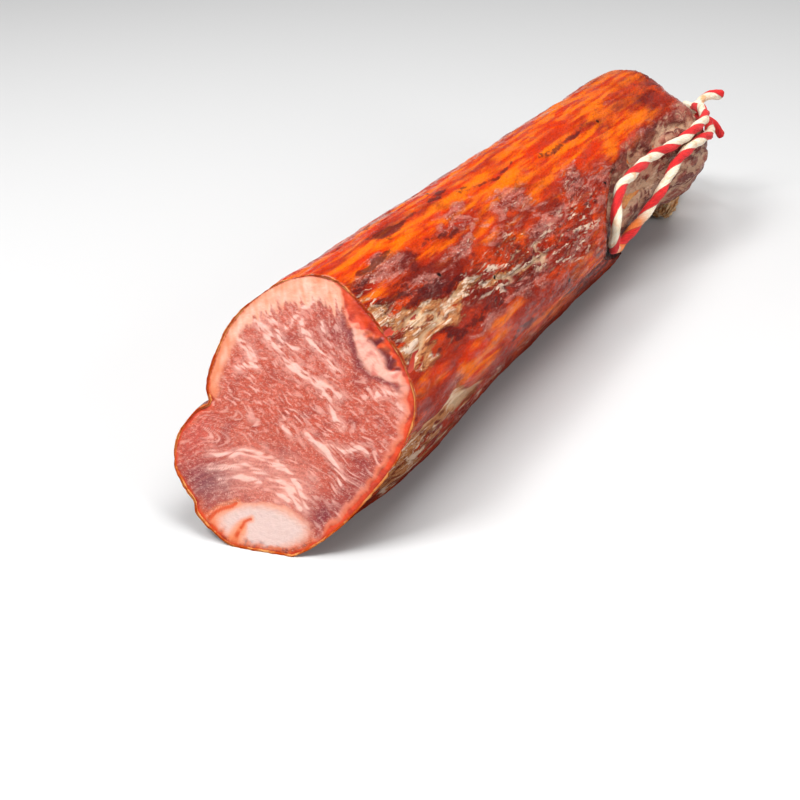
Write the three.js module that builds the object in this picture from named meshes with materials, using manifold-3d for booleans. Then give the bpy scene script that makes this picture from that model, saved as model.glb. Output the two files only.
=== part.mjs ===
// A cured pork loin: a slanted half of the loin in its dried casing, tied at the far end with twine.
// It lies along +Y with its cut face towards -Y, +X to the right of the face and +Z up.
// Lengths are in millimetres and angles in degrees.

import * as THREE from 'three';
import Module from 'manifold-3d';
import { mergeVertices } from 'three/addons/utils/BufferGeometryUtils.js';

const wasm = await Module();
wasm.setup();

// Overall sizes. Distances along the loin are measured from the foot of the cut.
const LOIN_WIDTH = 69.9;
const LOIN_HEIGHT = 76.4;
const LOIN_LENGTH = 330;

// The slanted cut leans back by CUT_LEAN and turns towards the right flank by CUT_YAW.
const CUT_LEAN = 30.9;
const CUT_YAW = 15;

// The far end is a dome: END_ROUNDING deep, and blunter as END_BLUNTNESS grows from 2.
const END_ROUNDING = 34;
const END_BLUNTNESS = 2.5;

// The underside sinks by REST_SINK and is pressed flat where the loin lies.
const REST_SINK = 1.8;

// The dried casing, and the clearance that pieces keep where they touch.
const CASING_WALL = 0.8;
const TOUCH_GAP = 0.3;

// The gathered neck of the casing beyond the meat, and the turns of twine round it.
const NECK_RADIUS = 7;
const NECK_HEIGHT = 35;
const NECK_ROOT = 3;
const TWINE_DIAMETER = 4.6;
const TWINE_TURNS = 3;
const TWINE_LAY_GAP = 0.15;

// The knot sits on the binding at KNOT_ANGLE above the right-hand side.
const KNOT_ANGLE = 40;
const KNOT_TURN_RADIUS = 4.2;

// How finely the pieces are divided.
const SIDES_PER_SPAN = 2;
const TWINE_SIDES = 8;
const TURN_STEPS = 16;
const LOOP_STEPS = 34;
const TAIL_RINGS = 10;

// The section of the loin, counter-clockwise from the underside, as percentages of its width to the
// right of the middle line and of its height above the lowest point. Two creases run along the left.
const SECTION = [
  [1.5, 0], [13, 2], [23.5, 8.2], [32.8, 17.4], [40, 29.7], [46.3, 41.8], [49.7, 53.7], [47.2, 63.6],
  [38, 75.2], [25.7, 84.7], [11.4, 94.2], [-1.4, 99.7], [-14.3, 99.2], [-27.2, 93.4], [-37.2, 83.4],
  [-42.3, 70.8], [-42.9, 57], [-39.5, 51.2], [-45.2, 47.5], [-49.9, 38.5], [-48.6, 28.2],
  [-41.5, 20.8], [-35.2, 16.1], [-32.3, 11.6], [-22.2, 5.8], [-10.7, 1.6],
];
const SECTION_MIDDLE_X = -2.05;
const SECTION_CORE = new THREE.Vector2(-1.5, 37);

// The loop has pressed a dent into the right flank. Its lip is a bow: it comes nearest to the cut,
// DENT_REACH before the meat's end, at the angle DENT_ANGLE around the loin, and falls back by
// DENT_BOW for each squared degree, up to DENT_SPREAD either way. The dent is full DENT_STEP further.
const DENT_REACH = 143;
const DENT_ANGLE = 6;
const DENT_BOW = 0.0225;
const DENT_SPREAD = 44;
const DENT_STEP = 3.5;
const TWINE_DENT = {
  depth: -4.4,
  along: [-Infinity, -Infinity, LOIN_LENGTH - 84, LOIN_LENGTH - 38],
  around: [-64, -46, 32, 58],
};

// Places where the flank swells or draws in. Each has a depth, a stretch along the loin and a sector
// around it, where four numbers say where it starts, is full, begins to fade and has gone.
const FRONT_BELLY = { depth: 3.2, along: [8, 40, 60, 120], around: [-58, -38, -30, 5] };
const END_SHOULDER = {
  depth: 2.4,
  along: [LOIN_LENGTH - 68, LOIN_LENGTH - 34, Infinity, Infinity],
  around: [-38, -8, 40, 80],
};
const END_HEEL = {
  depth: -5,
  along: [LOIN_LENGTH - 85, LOIN_LENGTH - 30, Infinity, Infinity],
  around: [-90, -62, -45, -15],
};
const SWELLS = [FRONT_BELLY, END_SHOULDER, END_HEEL];

// Where the rings of the skin stand: shares of the way from the cut to the dent's lip, then of the
// way from the foot of its step to the dome, then angles of the dome.
const FRONT_SHARES = [0, 0.08, 0.18, 0.3, 0.44, 0.58, 0.72, 0.86, 1];
const BACK_SHARES = [0, 0.12, 0.26, 0.4, 0.55, 0.7, 0.85];
const DOME_ANGLES = [0, 20, 37, 51, 62, 71, 78];

// The route of the hanging loop's centreline: x and z as everywhere, y from the meat's end. It leaves
// the knot, crosses the shoulder, runs down the flank, turns back in its dent and returns.
const LOOP_ROUTE = [
  [19.4, 7.7, 48.4], [23.8, 1.4, 48.8], [28, -6, 49.3], [31.3, -14.4, 49.4], [33.8, -24, 50],
  [34, -37, 51.3], [32.9, -48.8, 50.6], [31.9, -57, 48.9], [31.6, -64, 46.4], [31.7, -73, 42.8],
  [31.3, -80, 39.1], [30.4, -87, 35.6], [29.2, -94, 32], [27.8, -103, 28.6], [26.9, -112, 26.2],
  [27.4, -119, 27.2], [29, -125, 31], [30.6, -129.6, 36.5], [31, -130.6, 41.5], [29.8, -128, 46],
  [27.5, -121.5, 49.8], [25.6, -113.5, 52.3], [25.1, -103, 52.9], [24.7, -89, 53.4],
  [25, -76, 53.7], [27, -63.5, 53.8], [29, -54.5, 54.4], [30.3, -46, 55.1], [31, -35, 56.1],
  [30.5, -24, 56], [28, -13.8, 55.4], [24.2, -6, 54.9], [20, 1.2, 53.9], [16.5, 7, 51.4],
];

// The middle line of the casing's dried tail beyond the binding, from the neck's end: it droops and
// tucks back under the rounded end. Each point has the tail's half width and half thickness there.
const TAIL_ROUTE = [
  { at: [0.3, 6, -2.5], half_width: 5.6, half_thickness: 4.6 },
  { at: [1, 9.5, -10], half_width: 6.2, half_thickness: 3.4 },
  { at: [2, 8, -19], half_width: 6.8, half_thickness: 2.8 },
  { at: [4, 0, -26.3], half_width: 7, half_thickness: 2.3 },
  { at: [6.5, -13, -29.8], half_width: 7, half_thickness: 1.9 },
  { at: [9.8, -27, -31], half_width: 6.6, half_thickness: 1.5 },
  { at: [12.8, -38.5, -31.5], half_width: 4.8, half_thickness: 1.1 },
];

// The knot's crossed turn is tipped and swung out of the flat turn's plane, in degrees. The two cut
// ends of the twine leave the knot's middle along these curves.
const KNOT_TILT = 68;
const KNOT_SWING = 25;
const KNOT_UPPER_END = [[1, 2, 2], [3, 10.2, 7], [8, 17, 6]];
const KNOT_LOWER_END = [[2, 1, -2], [9, 5.95, -5], [12, 11.9, -12]];
const KNOT_END_STEPS = 5;

// The neck flares by this factor where it leaves the dome. Points closer than WELD are one point.
const NECK_FLARE = 1.25;
const WELD = 1e-4;

// What follows from the sizes above.
const TWINE_RADIUS = TWINE_DIAMETER / 2;
const TWINE_PITCH = TWINE_DIAMETER + TWINE_LAY_GAP;
const BINDING_RADIUS = NECK_RADIUS + TOUCH_GAP + TWINE_RADIUS;
const BINDING_START = NECK_ROOT + TWINE_RADIUS + TOUCH_GAP;
const NECK_END = BINDING_START + TWINE_TURNS * TWINE_PITCH + TWINE_RADIUS + TOUCH_GAP;
const DOME_START = LOIN_LENGTH - END_ROUNDING;

const radians = THREE.MathUtils.degToRad;

// A bump that rises over the first two numbers of `span` and fades over the last two.
function bump(value, span) {
  const rise = Number.isFinite(span[0]) ? THREE.MathUtils.smoothstep(value, span[0], span[1]) : 1;
  const fade = Number.isFinite(span[2]) ? THREE.MathUtils.smoothstep(value, span[2], span[3]) : 0;
  return rise * (1 - fade);
}

// How far along the loin the dent's lip is at an angle around it.
function lipDistance(angle) {
  const away = Math.min(Math.abs(angle - DENT_ANGLE), DENT_SPREAD);
  return LOIN_LENGTH - DENT_REACH + DENT_BOW * away ** 2;
}

// The full-size section as evenly shared samples: each has its point, its outward normal and the
// angle around the loin's core, from the right-hand side upwards.
function sectionSamples() {
  const points = SECTION.map(([across, up]) => new THREE.Vector3(
    across / 100 * LOIN_WIDTH + SECTION_MIDDLE_X,
    0,
    up / 100 * LOIN_HEIGHT - REST_SINK,
  ));
  const curve = new THREE.CatmullRomCurve3(points, true, 'catmullrom', 0.5);
  const count = SECTION.length * SIDES_PER_SPAN;
  return Array.from({ length: count }, (_, i) => {
    const point = curve.getPoint(i / count);
    const tangent = curve.getTangent(i / count);
    return {
      x: point.x,
      z: point.z,
      normal: new THREE.Vector2(tangent.z, -tangent.x).normalize(),
      angle: THREE.MathUtils.radToDeg(
        Math.atan2(point.z - SECTION_CORE.y, point.x - SECTION_CORE.x),
      ),
    };
  });
}

const SAMPLES = sectionSamples();

// How far a place swells or draws in the skin at an angle around the loin and a distance along it.
function relief(place, angle, along) {
  return place.depth * bump(along, place.along) * bump(angle, place.around);
}

// One point of the surface that lies `inset` inside the casing's outside.
function skinPoint(sample, along, inset, scale) {
  const dx = sample.x - SECTION_CORE.x;
  const dz = sample.z - SECTION_CORE.y;
  const lip = lipDistance(sample.angle);
  const step = THREE.MathUtils.smoothstep(along, lip, lip + DENT_STEP);
  const dent = step * relief(TWINE_DENT, sample.angle, along);
  const raised = SWELLS.reduce((sum, place) => sum + relief(place, sample.angle, along), dent);
  const stretch = 1 + raised / Math.hypot(dx, dz);
  const x = SECTION_CORE.x + (dx * stretch - sample.normal.x * inset) * scale;
  const z = SECTION_CORE.y + (dz * stretch - sample.normal.y * inset) * scale;
  return new THREE.Vector3(x, along, Math.max(z, inset));
}

// The distance along the loin at which the cut plane passes over a point of the section.
function cutDistance(x, z) {
  return Math.tan(radians(CUT_LEAN)) * z + Math.tan(radians(CUT_YAW)) * x;
}

// A ring between the cut and the dent's lip, at a share of the way from one to the other.
function frontRing(share, inset) {
  return SAMPLES.map((sample) => {
    const onCut = skinPoint(sample, 0, inset, 1);
    const start = cutDistance(onCut.x, onCut.z);
    const along = THREE.MathUtils.lerp(start, lipDistance(sample.angle), share);
    const point = skinPoint(sample, along, inset, 1);
    if (share === 0) {
      point.y = cutDistance(point.x, point.z);
    }
    return point;
  });
}

// A ring between the foot of the dent's step and the dome, at a share of the way.
function backRing(share, inset) {
  return SAMPLES.map((sample) => {
    const foot = lipDistance(sample.angle) + DENT_STEP;
    return skinPoint(sample, THREE.MathUtils.lerp(foot, DOME_START, share), inset, 1);
  });
}

// A ring of the dome that closes the far end, at an angle of its quarter turn.
function domeRing(angle, inset) {
  const power = 2 / END_BLUNTNESS;
  const reach = Math.sin(radians(angle)) ** power;
  const scale = Math.cos(radians(angle)) ** power;
  const along = DOME_START + (END_ROUNDING - inset) * reach;
  return SAMPLES.map((sample) => skinPoint(sample, along, inset, scale));
}

// All rings of the surface at `inset`, from the cut to the last ring of the dome.
function skinRings(inset) {
  return [
    ...FRONT_SHARES.map((share) => frontRing(share, inset)),
    ...BACK_SHARES.map((share) => backRing(share, inset)),
    ...DOME_ANGLES.map((angle) => domeRing(angle, inset)),
  ];
}

// The point where the surface at `inset` closes at the far end.
function endPole(inset) {
  return new THREE.Vector3(SECTION_CORE.x, LOIN_LENGTH - inset, SECTION_CORE.y);
}

// A flat oval ring of the neck or the tail, across the direction in which the casing runs there.
function ovalRing(centre, direction, halfWidth, halfThickness) {
  const wide = new THREE.Vector3(1, 0, 0).addScaledVector(direction, -direction.x).normalize();
  const thick = new THREE.Vector3().crossVectors(wide, direction);
  return SAMPLES.map((_, i) => {
    const turn = 2 * Math.PI * i / SAMPLES.length - Math.PI / 2;
    return centre.clone()
      .addScaledVector(wide, halfWidth * Math.cos(turn))
      .addScaledVector(thick, halfThickness * Math.sin(turn));
  });
}

// The neck's rings: a short flare out of the dome, then a straight stretch for the binding.
function neckRings() {
  const places = [[NECK_ROOT / 3, NECK_FLARE], [NECK_ROOT, 1], [NECK_END, 1]];
  return places.map(([beyond, share]) => ovalRing(
    new THREE.Vector3(0, LOIN_LENGTH + beyond, NECK_HEIGHT),
    new THREE.Vector3(0, 1, 0),
    NECK_RADIUS * share,
    NECK_RADIUS * share,
  ));
}

// The tail's rings and the point where it ends.
function tail() {
  const neckEnd = new THREE.Vector3(0, LOIN_LENGTH + NECK_END, NECK_HEIGHT);
  const middle = TAIL_ROUTE.map(({ at }) => new THREE.Vector3(...at).add(neckEnd));
  const route = new THREE.CatmullRomCurve3([neckEnd, ...middle]);
  const spread = new THREE.SplineCurve([
    new THREE.Vector2(NECK_RADIUS, NECK_RADIUS),
    ...TAIL_ROUTE.map((place) => new THREE.Vector2(place.half_width, place.half_thickness)),
  ]);
  const rings = Array.from({ length: TAIL_RINGS }, (_, i) => {
    const share = (i + 1) / TAIL_RINGS;
    const halves = spread.getPoint(share);
    return ovalRing(route.getPoint(share), route.getTangent(share), halves.x, halves.y);
  });
  return { rings, tip: route.getPoint(1) };
}

// A closed skin over a row of rings, with a fan to a point at each end. Each four-sided patch is
// folded along the diagonal that climbs along the loin, so that skins one inside another fold alike.
function loft(startPole, rings, endPolePoint) {
  const count = rings[0].length;
  const points = [startPole, ...rings.flat(), endPolePoint];
  const last = points.length - 1;
  const index = [];
  for (let i = 0; i < count; i += 1) {
    const next = (i + 1) % count;
    index.push(0, 1 + i, 1 + next);
    for (let ring = 0; ring < rings.length - 1; ring += 1) {
      const here = 1 + ring * count;
      const beyond = here + count;
      if (points[beyond + i].y > points[here + i].y) {
        index.push(here + i, beyond + i, beyond + next);
        index.push(here + i, beyond + next, here + next);
      } else {
        index.push(here + i, beyond + i, here + next);
        index.push(beyond + i, beyond + next, here + next);
      }
    }
    const final = 1 + (rings.length - 1) * count;
    index.push(last, final + next, final + i);
  }
  const geometry = new THREE.BufferGeometry();
  geometry.setAttribute('position', new THREE.Float32BufferAttribute(
    points.flatMap((point) => point.toArray()),
    3,
  ));
  geometry.setIndex(index);
  geometry.computeVertexNormals();
  return geometry;
}

// The meat: its skin lies a touch inside the casing, and the cut face closes its near end.
function meatGeometry() {
  const inset = CASING_WALL + TOUCH_GAP;
  const faceMiddle = new THREE.Vector3(
    SECTION_CORE.x,
    cutDistance(SECTION_CORE.x, SECTION_CORE.y),
    SECTION_CORE.y,
  );
  return loft(faceMiddle, skinRings(inset), endPole(inset));
}

// The casing: its inside from the closed end out to the cut, then its outside back to the tail's tip.
function casingGeometry() {
  const inside = skinRings(CASING_WALL).reverse();
  const dried = tail();
  return loft(
    endPole(CASING_WALL),
    [...inside, ...skinRings(0), ...neckRings(), ...dried.rings],
    dried.tip,
  );
}

// A round twine along a curve, open to no inside.
function twineGeometry(curve, steps) {
  const section = new THREE.Shape();
  for (let i = 0; i < TWINE_SIDES; i += 1) {
    const turn = 2 * Math.PI * i / TWINE_SIDES;
    const x = TWINE_RADIUS * Math.cos(turn);
    const y = TWINE_RADIUS * Math.sin(turn);
    if (i === 0) {
      section.moveTo(x, y);
    } else {
      section.lineTo(x, y);
    }
  }
  section.closePath();
  return new THREE.ExtrudeGeometry(section, { steps, extrudePath: curve, bevelEnabled: false });
}

// The turns of the binding, from a place on the neck's axis.
class BindingCurve extends THREE.Curve {
  getPoint(share, target = new THREE.Vector3()) {
    const turn = radians(KNOT_ANGLE) + 2 * Math.PI * TWINE_TURNS * share;
    return target.set(
      BINDING_RADIUS * Math.cos(turn),
      BINDING_START + TWINE_TURNS * TWINE_PITCH * share,
      NECK_HEIGHT + BINDING_RADIUS * Math.sin(turn),
    );
  }
}

function bindingGeometry() {
  return twineGeometry(new BindingCurve(), TWINE_TURNS * TURN_STEPS);
}

// A closed geometry as a solid that can be joined to others.
function solid(geometry) {
  const bare = new THREE.BufferGeometry();
  bare.setAttribute('position', geometry.getAttribute('position').clone());
  if (geometry.index) {
    bare.setIndex(geometry.index.clone());
  }
  const merged = mergeVertices(bare, WELD);
  return new wasm.Manifold(new wasm.Mesh({
    numProp: 3,
    vertProperties: new Float32Array(merged.getAttribute('position').array),
    triVerts: new Uint32Array(merged.index.array),
  }));
}

function geometryOf(manifold) {
  const mesh = manifold.getMesh();
  const geometry = new THREE.BufferGeometry();
  geometry.setAttribute('position', new THREE.BufferAttribute(mesh.vertProperties, 3));
  geometry.setIndex(new THREE.BufferAttribute(mesh.triVerts, 1));
  geometry.computeVertexNormals();
  return geometry;
}

// The middle of the knot, on the binding's outside.
function knotCentre() {
  const distance = BINDING_RADIUS + TWINE_RADIUS + TOUCH_GAP + KNOT_TURN_RADIUS + TWINE_RADIUS;
  return new THREE.Vector3(
    distance * Math.cos(radians(KNOT_ANGLE)),
    BINDING_START + TWINE_TURNS * TWINE_PITCH / 2,
    NECK_HEIGHT + distance * Math.sin(radians(KNOT_ANGLE)),
  );
}

// One cut end of the twine, along a bent curve through three places.
function cutEnd(places) {
  const curve = new THREE.QuadraticBezierCurve3(...places.map((place) => new THREE.Vector3(...place)));
  return twineGeometry(curve, KNOT_END_STEPS);
}

// The knot: two crossed turns pulled tight on each other, and the two cut ends of the twine.
function knotGeometry() {
  const flatTurn = new THREE.TorusGeometry(KNOT_TURN_RADIUS, TWINE_RADIUS, TWINE_SIDES, TURN_STEPS);
  const crossedTurn = flatTurn.clone().rotateX(radians(KNOT_TILT)).rotateY(radians(KNOT_SWING));
  const heart = new THREE.SphereGeometry(KNOT_TURN_RADIUS, TURN_STEPS, TWINE_SIDES);
  const pieces = [flatTurn, crossedTurn, heart, cutEnd(KNOT_UPPER_END), cutEnd(KNOT_LOWER_END)];
  const joined = pieces.map(solid).reduce((whole, piece) => whole.add(piece));
  const centre = knotCentre();
  return geometryOf(joined).translate(centre.x, centre.y, centre.z);
}

function hangingLoopGeometry() {
  const route = new THREE.CatmullRomCurve3(LOOP_ROUTE.map((point) => new THREE.Vector3(...point)));
  return twineGeometry(route, LOOP_STEPS);
}

function piece(name, geometry, color, roughness) {
  const material = new THREE.MeshStandardMaterial({ color, roughness, metalness: 0 });
  const mesh = new THREE.Mesh(geometry, material);
  mesh.name = name;
  return mesh;
}

const CURED_MEAT = 0xb0544c;
const DRIED_CASING = 0xb4401c;
const RED_AND_WHITE_TWINE = 0xd8a898;
const MEAT_ROUGHNESS = 0.35;
const CASING_ROUGHNESS = 0.3;
const TWINE_ROUGHNESS = 0.85;

const loin = new THREE.Group();
loin.add(piece('meat', meatGeometry(), CURED_MEAT, MEAT_ROUGHNESS));
loin.add(piece('casing', casingGeometry(), DRIED_CASING, CASING_ROUGHNESS));

// What hangs on the neck is placed from the meat's end.
const tie = new THREE.Group();
tie.position.y = LOIN_LENGTH;
tie.add(piece('twine_binding', bindingGeometry(), RED_AND_WHITE_TWINE, TWINE_ROUGHNESS));
tie.add(piece('twine_knot', knotGeometry(), RED_AND_WHITE_TWINE, TWINE_ROUGHNESS));
loin.add(tie);
loin.updateMatrixWorld(true);

// The origin is under the middle of the box of everything but the free loop.
const box = new THREE.Box3().setFromObject(loin, true);
const middle = box.getCenter(new THREE.Vector3());
tie.add(piece('twine_hanging_loop', hangingLoopGeometry(), RED_AND_WHITE_TWINE, TWINE_ROUGHNESS));
loin.position.set(-middle.x, -middle.y, -box.min.z);

const part = new THREE.Group();
part.add(loin);

export default part;
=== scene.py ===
import math

import bpy
import numpy as np
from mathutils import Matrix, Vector


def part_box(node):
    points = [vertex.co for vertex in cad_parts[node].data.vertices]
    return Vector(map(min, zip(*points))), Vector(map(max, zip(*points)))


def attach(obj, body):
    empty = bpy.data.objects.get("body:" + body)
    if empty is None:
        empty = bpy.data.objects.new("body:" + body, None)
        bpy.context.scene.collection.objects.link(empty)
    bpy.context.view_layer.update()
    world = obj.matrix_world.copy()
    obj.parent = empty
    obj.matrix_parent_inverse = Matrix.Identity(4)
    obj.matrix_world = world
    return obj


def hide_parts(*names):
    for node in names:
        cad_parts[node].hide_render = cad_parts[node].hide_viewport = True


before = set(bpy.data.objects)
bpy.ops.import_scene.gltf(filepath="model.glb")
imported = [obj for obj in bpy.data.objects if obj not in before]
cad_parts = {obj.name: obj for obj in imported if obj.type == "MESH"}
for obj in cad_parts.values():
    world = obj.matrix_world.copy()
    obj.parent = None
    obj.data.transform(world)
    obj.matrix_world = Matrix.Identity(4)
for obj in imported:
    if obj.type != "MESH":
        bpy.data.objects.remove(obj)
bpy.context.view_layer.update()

# The loin's own frame, in millimetres: X to the right, Y from the foot of the cut, Z up.
MM = 0.001
WIDTH = 69.9
HEIGHT = 76.4
LENGTH = 330.0
CUT_LEAN = math.tan(math.radians(30.9))
CUT_YAW = math.tan(math.radians(15))
END_ROUNDING = 34.0
END_POWER = 0.8
REST_SINK = 1.8
WALL = 0.5
MEAT_INSET = 0.45
NECK_RADIUS = 7.0
NECK_HEIGHT = 35.0
NECK_END = 22.45
TWINE_RADIUS = 2.3
BINDING_RADIUS = 9.6
BINDING_START = 5.6
BINDING_LENGTH = 14.25
BINDING_TURNS = 3
KNOT_ANGLE = math.radians(40)
KNOT_CENTRE = (14.3, 12.7, 47.0)
KNOT_SIZE = 1.75

# The section as percent of the width from its middle line and percent of the height.
SECTION = [
    (1.5, 0), (13, 2), (23.5, 8.2), (32.8, 17.4), (40, 29.7), (46.3, 41.8), (49.7, 53.7),
    (47.2, 63.6), (38, 75.2), (25.7, 84.7), (11.4, 94.2), (-1.4, 99.7), (-14.3, 99.2),
    (-27.2, 93.4), (-37.2, 83.4), (-42.3, 70.8), (-42.9, 57), (-39.5, 51.2), (-45.2, 47.5),
    (-49.9, 38.5), (-48.6, 28.2), (-41.5, 20.8), (-35.2, 16.1), (-32.3, 11.6), (-22.2, 5.8),
    (-10.7, 1.6),
]
SECTION_MIDDLE = -2.05
CORE = np.array([-1.5, 37.0])

# The dent that the loop has pressed into the flank, and where the flank swells or draws in: depth,
# the stretch along the loin and the sector around it, each as start, full, fade and gone.
ALWAYS = -1e9
NEVER = 1e9
DENT_REACH = 143.0
DENT_ANGLE = 6.0
DENT_BOW = 0.0225
DENT_SPREAD = 44.0
DENT_STEP = 3.5
DENT = (-4.4, (ALWAYS, ALWAYS, LENGTH - 84, LENGTH - 38), (-64, -46, 32, 58))
SWELLS = [
    (3.2, (8, 40, 60, 120), (-58, -38, -30, 5)),
    (2.4, (LENGTH - 68, LENGTH - 34, NEVER, NEVER), (-38, -8, 40, 80)),
    (-5.0, (LENGTH - 85, LENGTH - 30, NEVER, NEVER), (-90, -62, -45, -15)),
]

# The dried tail's middle line from the neck's end, with its half width and half thickness.
TAIL_ROUTE = [
    (0.0, 0.0, 0.0, 7.0, 7.0), (0.3, 6, -2.5, 5.6, 4.6), (1, 9.5, -10, 6.2, 3.4),
    (2, 8, -19, 6.8, 2.8), (4, 0, -26.3, 7, 2.3), (6.5, -13, -29.8, 7, 1.9),
    (9.8, -27, -31, 6.6, 1.5), (12.8, -38.5, -31.5, 4.8, 1.1),
]

# The hanging loop's route in metres: x and z as everywhere, y from the meat's end.
LOOP_ROUTE = [
    (0.0194, 0.0077, 0.0484), (0.0238, 0.0014, 0.0488), (0.028, -0.006, 0.0493),
    (0.0313, -0.0144, 0.0494), (0.0338, -0.024, 0.05), (0.034, -0.037, 0.0513),
    (0.0329, -0.0488, 0.0506), (0.0319, -0.057, 0.0489), (0.0316, -0.064, 0.0464),
    (0.0317, -0.073, 0.0428), (0.0313, -0.08, 0.0391), (0.0304, -0.087, 0.0356),
    (0.0292, -0.094, 0.032), (0.0278, -0.103, 0.0286), (0.0269, -0.112, 0.0262),
    (0.0274, -0.119, 0.0272), (0.029, -0.125, 0.031), (0.0306, -0.1296, 0.0365),
    (0.031, -0.1306, 0.0415), (0.0298, -0.128, 0.046), (0.0275, -0.1215, 0.0498),
    (0.0256, -0.1135, 0.0523), (0.0251, -0.103, 0.0529), (0.0247, -0.089, 0.0534),
    (0.025, -0.076, 0.0537), (0.027, -0.0635, 0.0538), (0.029, -0.0545, 0.0544),
    (0.0303, -0.046, 0.0551), (0.031, -0.035, 0.0561), (0.0305, -0.024, 0.056),
    (0.028, -0.0138, 0.0554), (0.0242, -0.006, 0.0549), (0.02, 0.0012, 0.0539),
    (0.0165, 0.007, 0.0514),
]

COLUMNS = 288
CLOSER = 1.4
CLOSER_WAYS = (15, 40, 112, 135)
INNER_SHARES = (0, 0.03, 0.15, 0.3, 0.45, 0.6, 0.75, 0.88, 1)
INNER_BACK = (0, 0.15, 0.3, 0.45, 0.6, 0.75, 0.9)
INNER_DOME = (0, 0.25, 0.5, 0.75, 1)
INNER_DEPTH = 2.2
FRONT_SHARES = np.linspace(0, 1, 146)
BACK_SHARES = np.r_[-0.018, -0.009, np.linspace(0, 1, 76)[:-1]]
DOME_SHARES = np.linspace(0, 1, 26)
DOME_TURN = math.radians(78)
NECK_RINGS = 22
NECK_FLARE = 1.25

# ---- Numbers: smooth steps, noise and curves ----

GENERATOR = np.random.default_rng(11)
PERMUTATION = GENERATOR.permutation(256)
GRADIENTS = GENERATOR.normal(size=(256, 3))
GRADIENTS /= np.linalg.norm(GRADIENTS, axis=1, keepdims=True)


def step(low, high, value):
    """0 below low, 1 above high and smooth between them."""
    share = np.clip((value - low) / (high - low), 0, 1)
    return share * share * (3 - 2 * share)


def bump(value, span):
    """A hump that rises over the first two numbers of span and fades over the last two."""
    rise = step(span[0], span[1], value) if span[0] > ALWAYS else 1.0
    fade = step(span[2], span[3], value) if span[2] < NEVER else 0.0
    return rise * (1 - fade)


def noise(points):
    """Smooth noise, about -1 to 1, with one cell to each unit of the points (..., 3)."""
    cell = np.floor(points).astype(int)
    inside = points - cell
    fade = inside ** 3 * (inside * (inside * 6 - 15) + 10)
    total = np.zeros(points.shape[:-1])
    for corner in np.ndindex(2, 2, 2):
        at = (cell + corner) % 256
        pick = PERMUTATION[at[..., 0]]
        pick = PERMUTATION[(pick + at[..., 1]) % 256]
        pick = PERMUTATION[(pick + at[..., 2]) % 256]
        share = np.prod(np.where(corner, fade, 1 - fade), axis=-1)
        total += share * np.sum(GRADIENTS[pick] * (inside - corner), axis=-1)
    return 1.6 * total


def ridges(points, layers=2):
    """1 along winding lines, falling off to about 0 between them."""
    total = 0
    for k in range(layers):
        total = np.maximum(total, (1 - np.abs(noise(points * 1.9 ** k + 9.1 * k))) * (1 - 0.12 * k))
    return total


def stack(*parts):
    return np.stack(np.broadcast_arrays(*parts), axis=-1)


def spline(points, steps):
    """A centripetal Catmull-Rom curve through points, with that many steps between each two."""
    points = np.asarray(points, float)
    points = np.vstack([2 * points[0] - points[1], points, 2 * points[-1] - points[-2]])
    shares = np.arange(steps) / steps
    pieces = []
    for a, b, c, d in zip(points, points[1:], points[2:], points[3:]):
        pairs = ((a, b), (b, c), (c, d))
        gaps = [math.sqrt(max(np.linalg.norm(q[:3] - p[:3]), 1e-6)) for p, q in pairs]
        leave = ((b - a) / gaps[0] - (c - a) / (gaps[0] + gaps[1]) + (c - b) / gaps[1]) * gaps[1]
        enter = ((c - b) / gaps[1] - (d - b) / (gaps[1] + gaps[2]) + (d - c) / gaps[2]) * gaps[1]
        t = shares[:, None]
        pieces.append(
            b * (1 + 2 * t) * (1 - t) ** 2 + leave * t * (1 - t) ** 2
            + c * t * t * (3 - 2 * t) + enter * t * t * (t - 1)
        )
    return np.vstack(pieces + [points[-2][None]])


def resampled(points, gap):
    """The same line with even gaps of about that length."""
    lengths = np.r_[0, np.cumsum(np.linalg.norm(np.diff(points, axis=0), axis=1))]
    count = max(int(round(lengths[-1] / gap)), 2)
    at = np.linspace(0, lengths[-1], count + 1)
    return np.stack([np.interp(at, lengths, points[:, k]) for k in range(points.shape[1])], axis=1)


# ---- Colours ----

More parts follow.
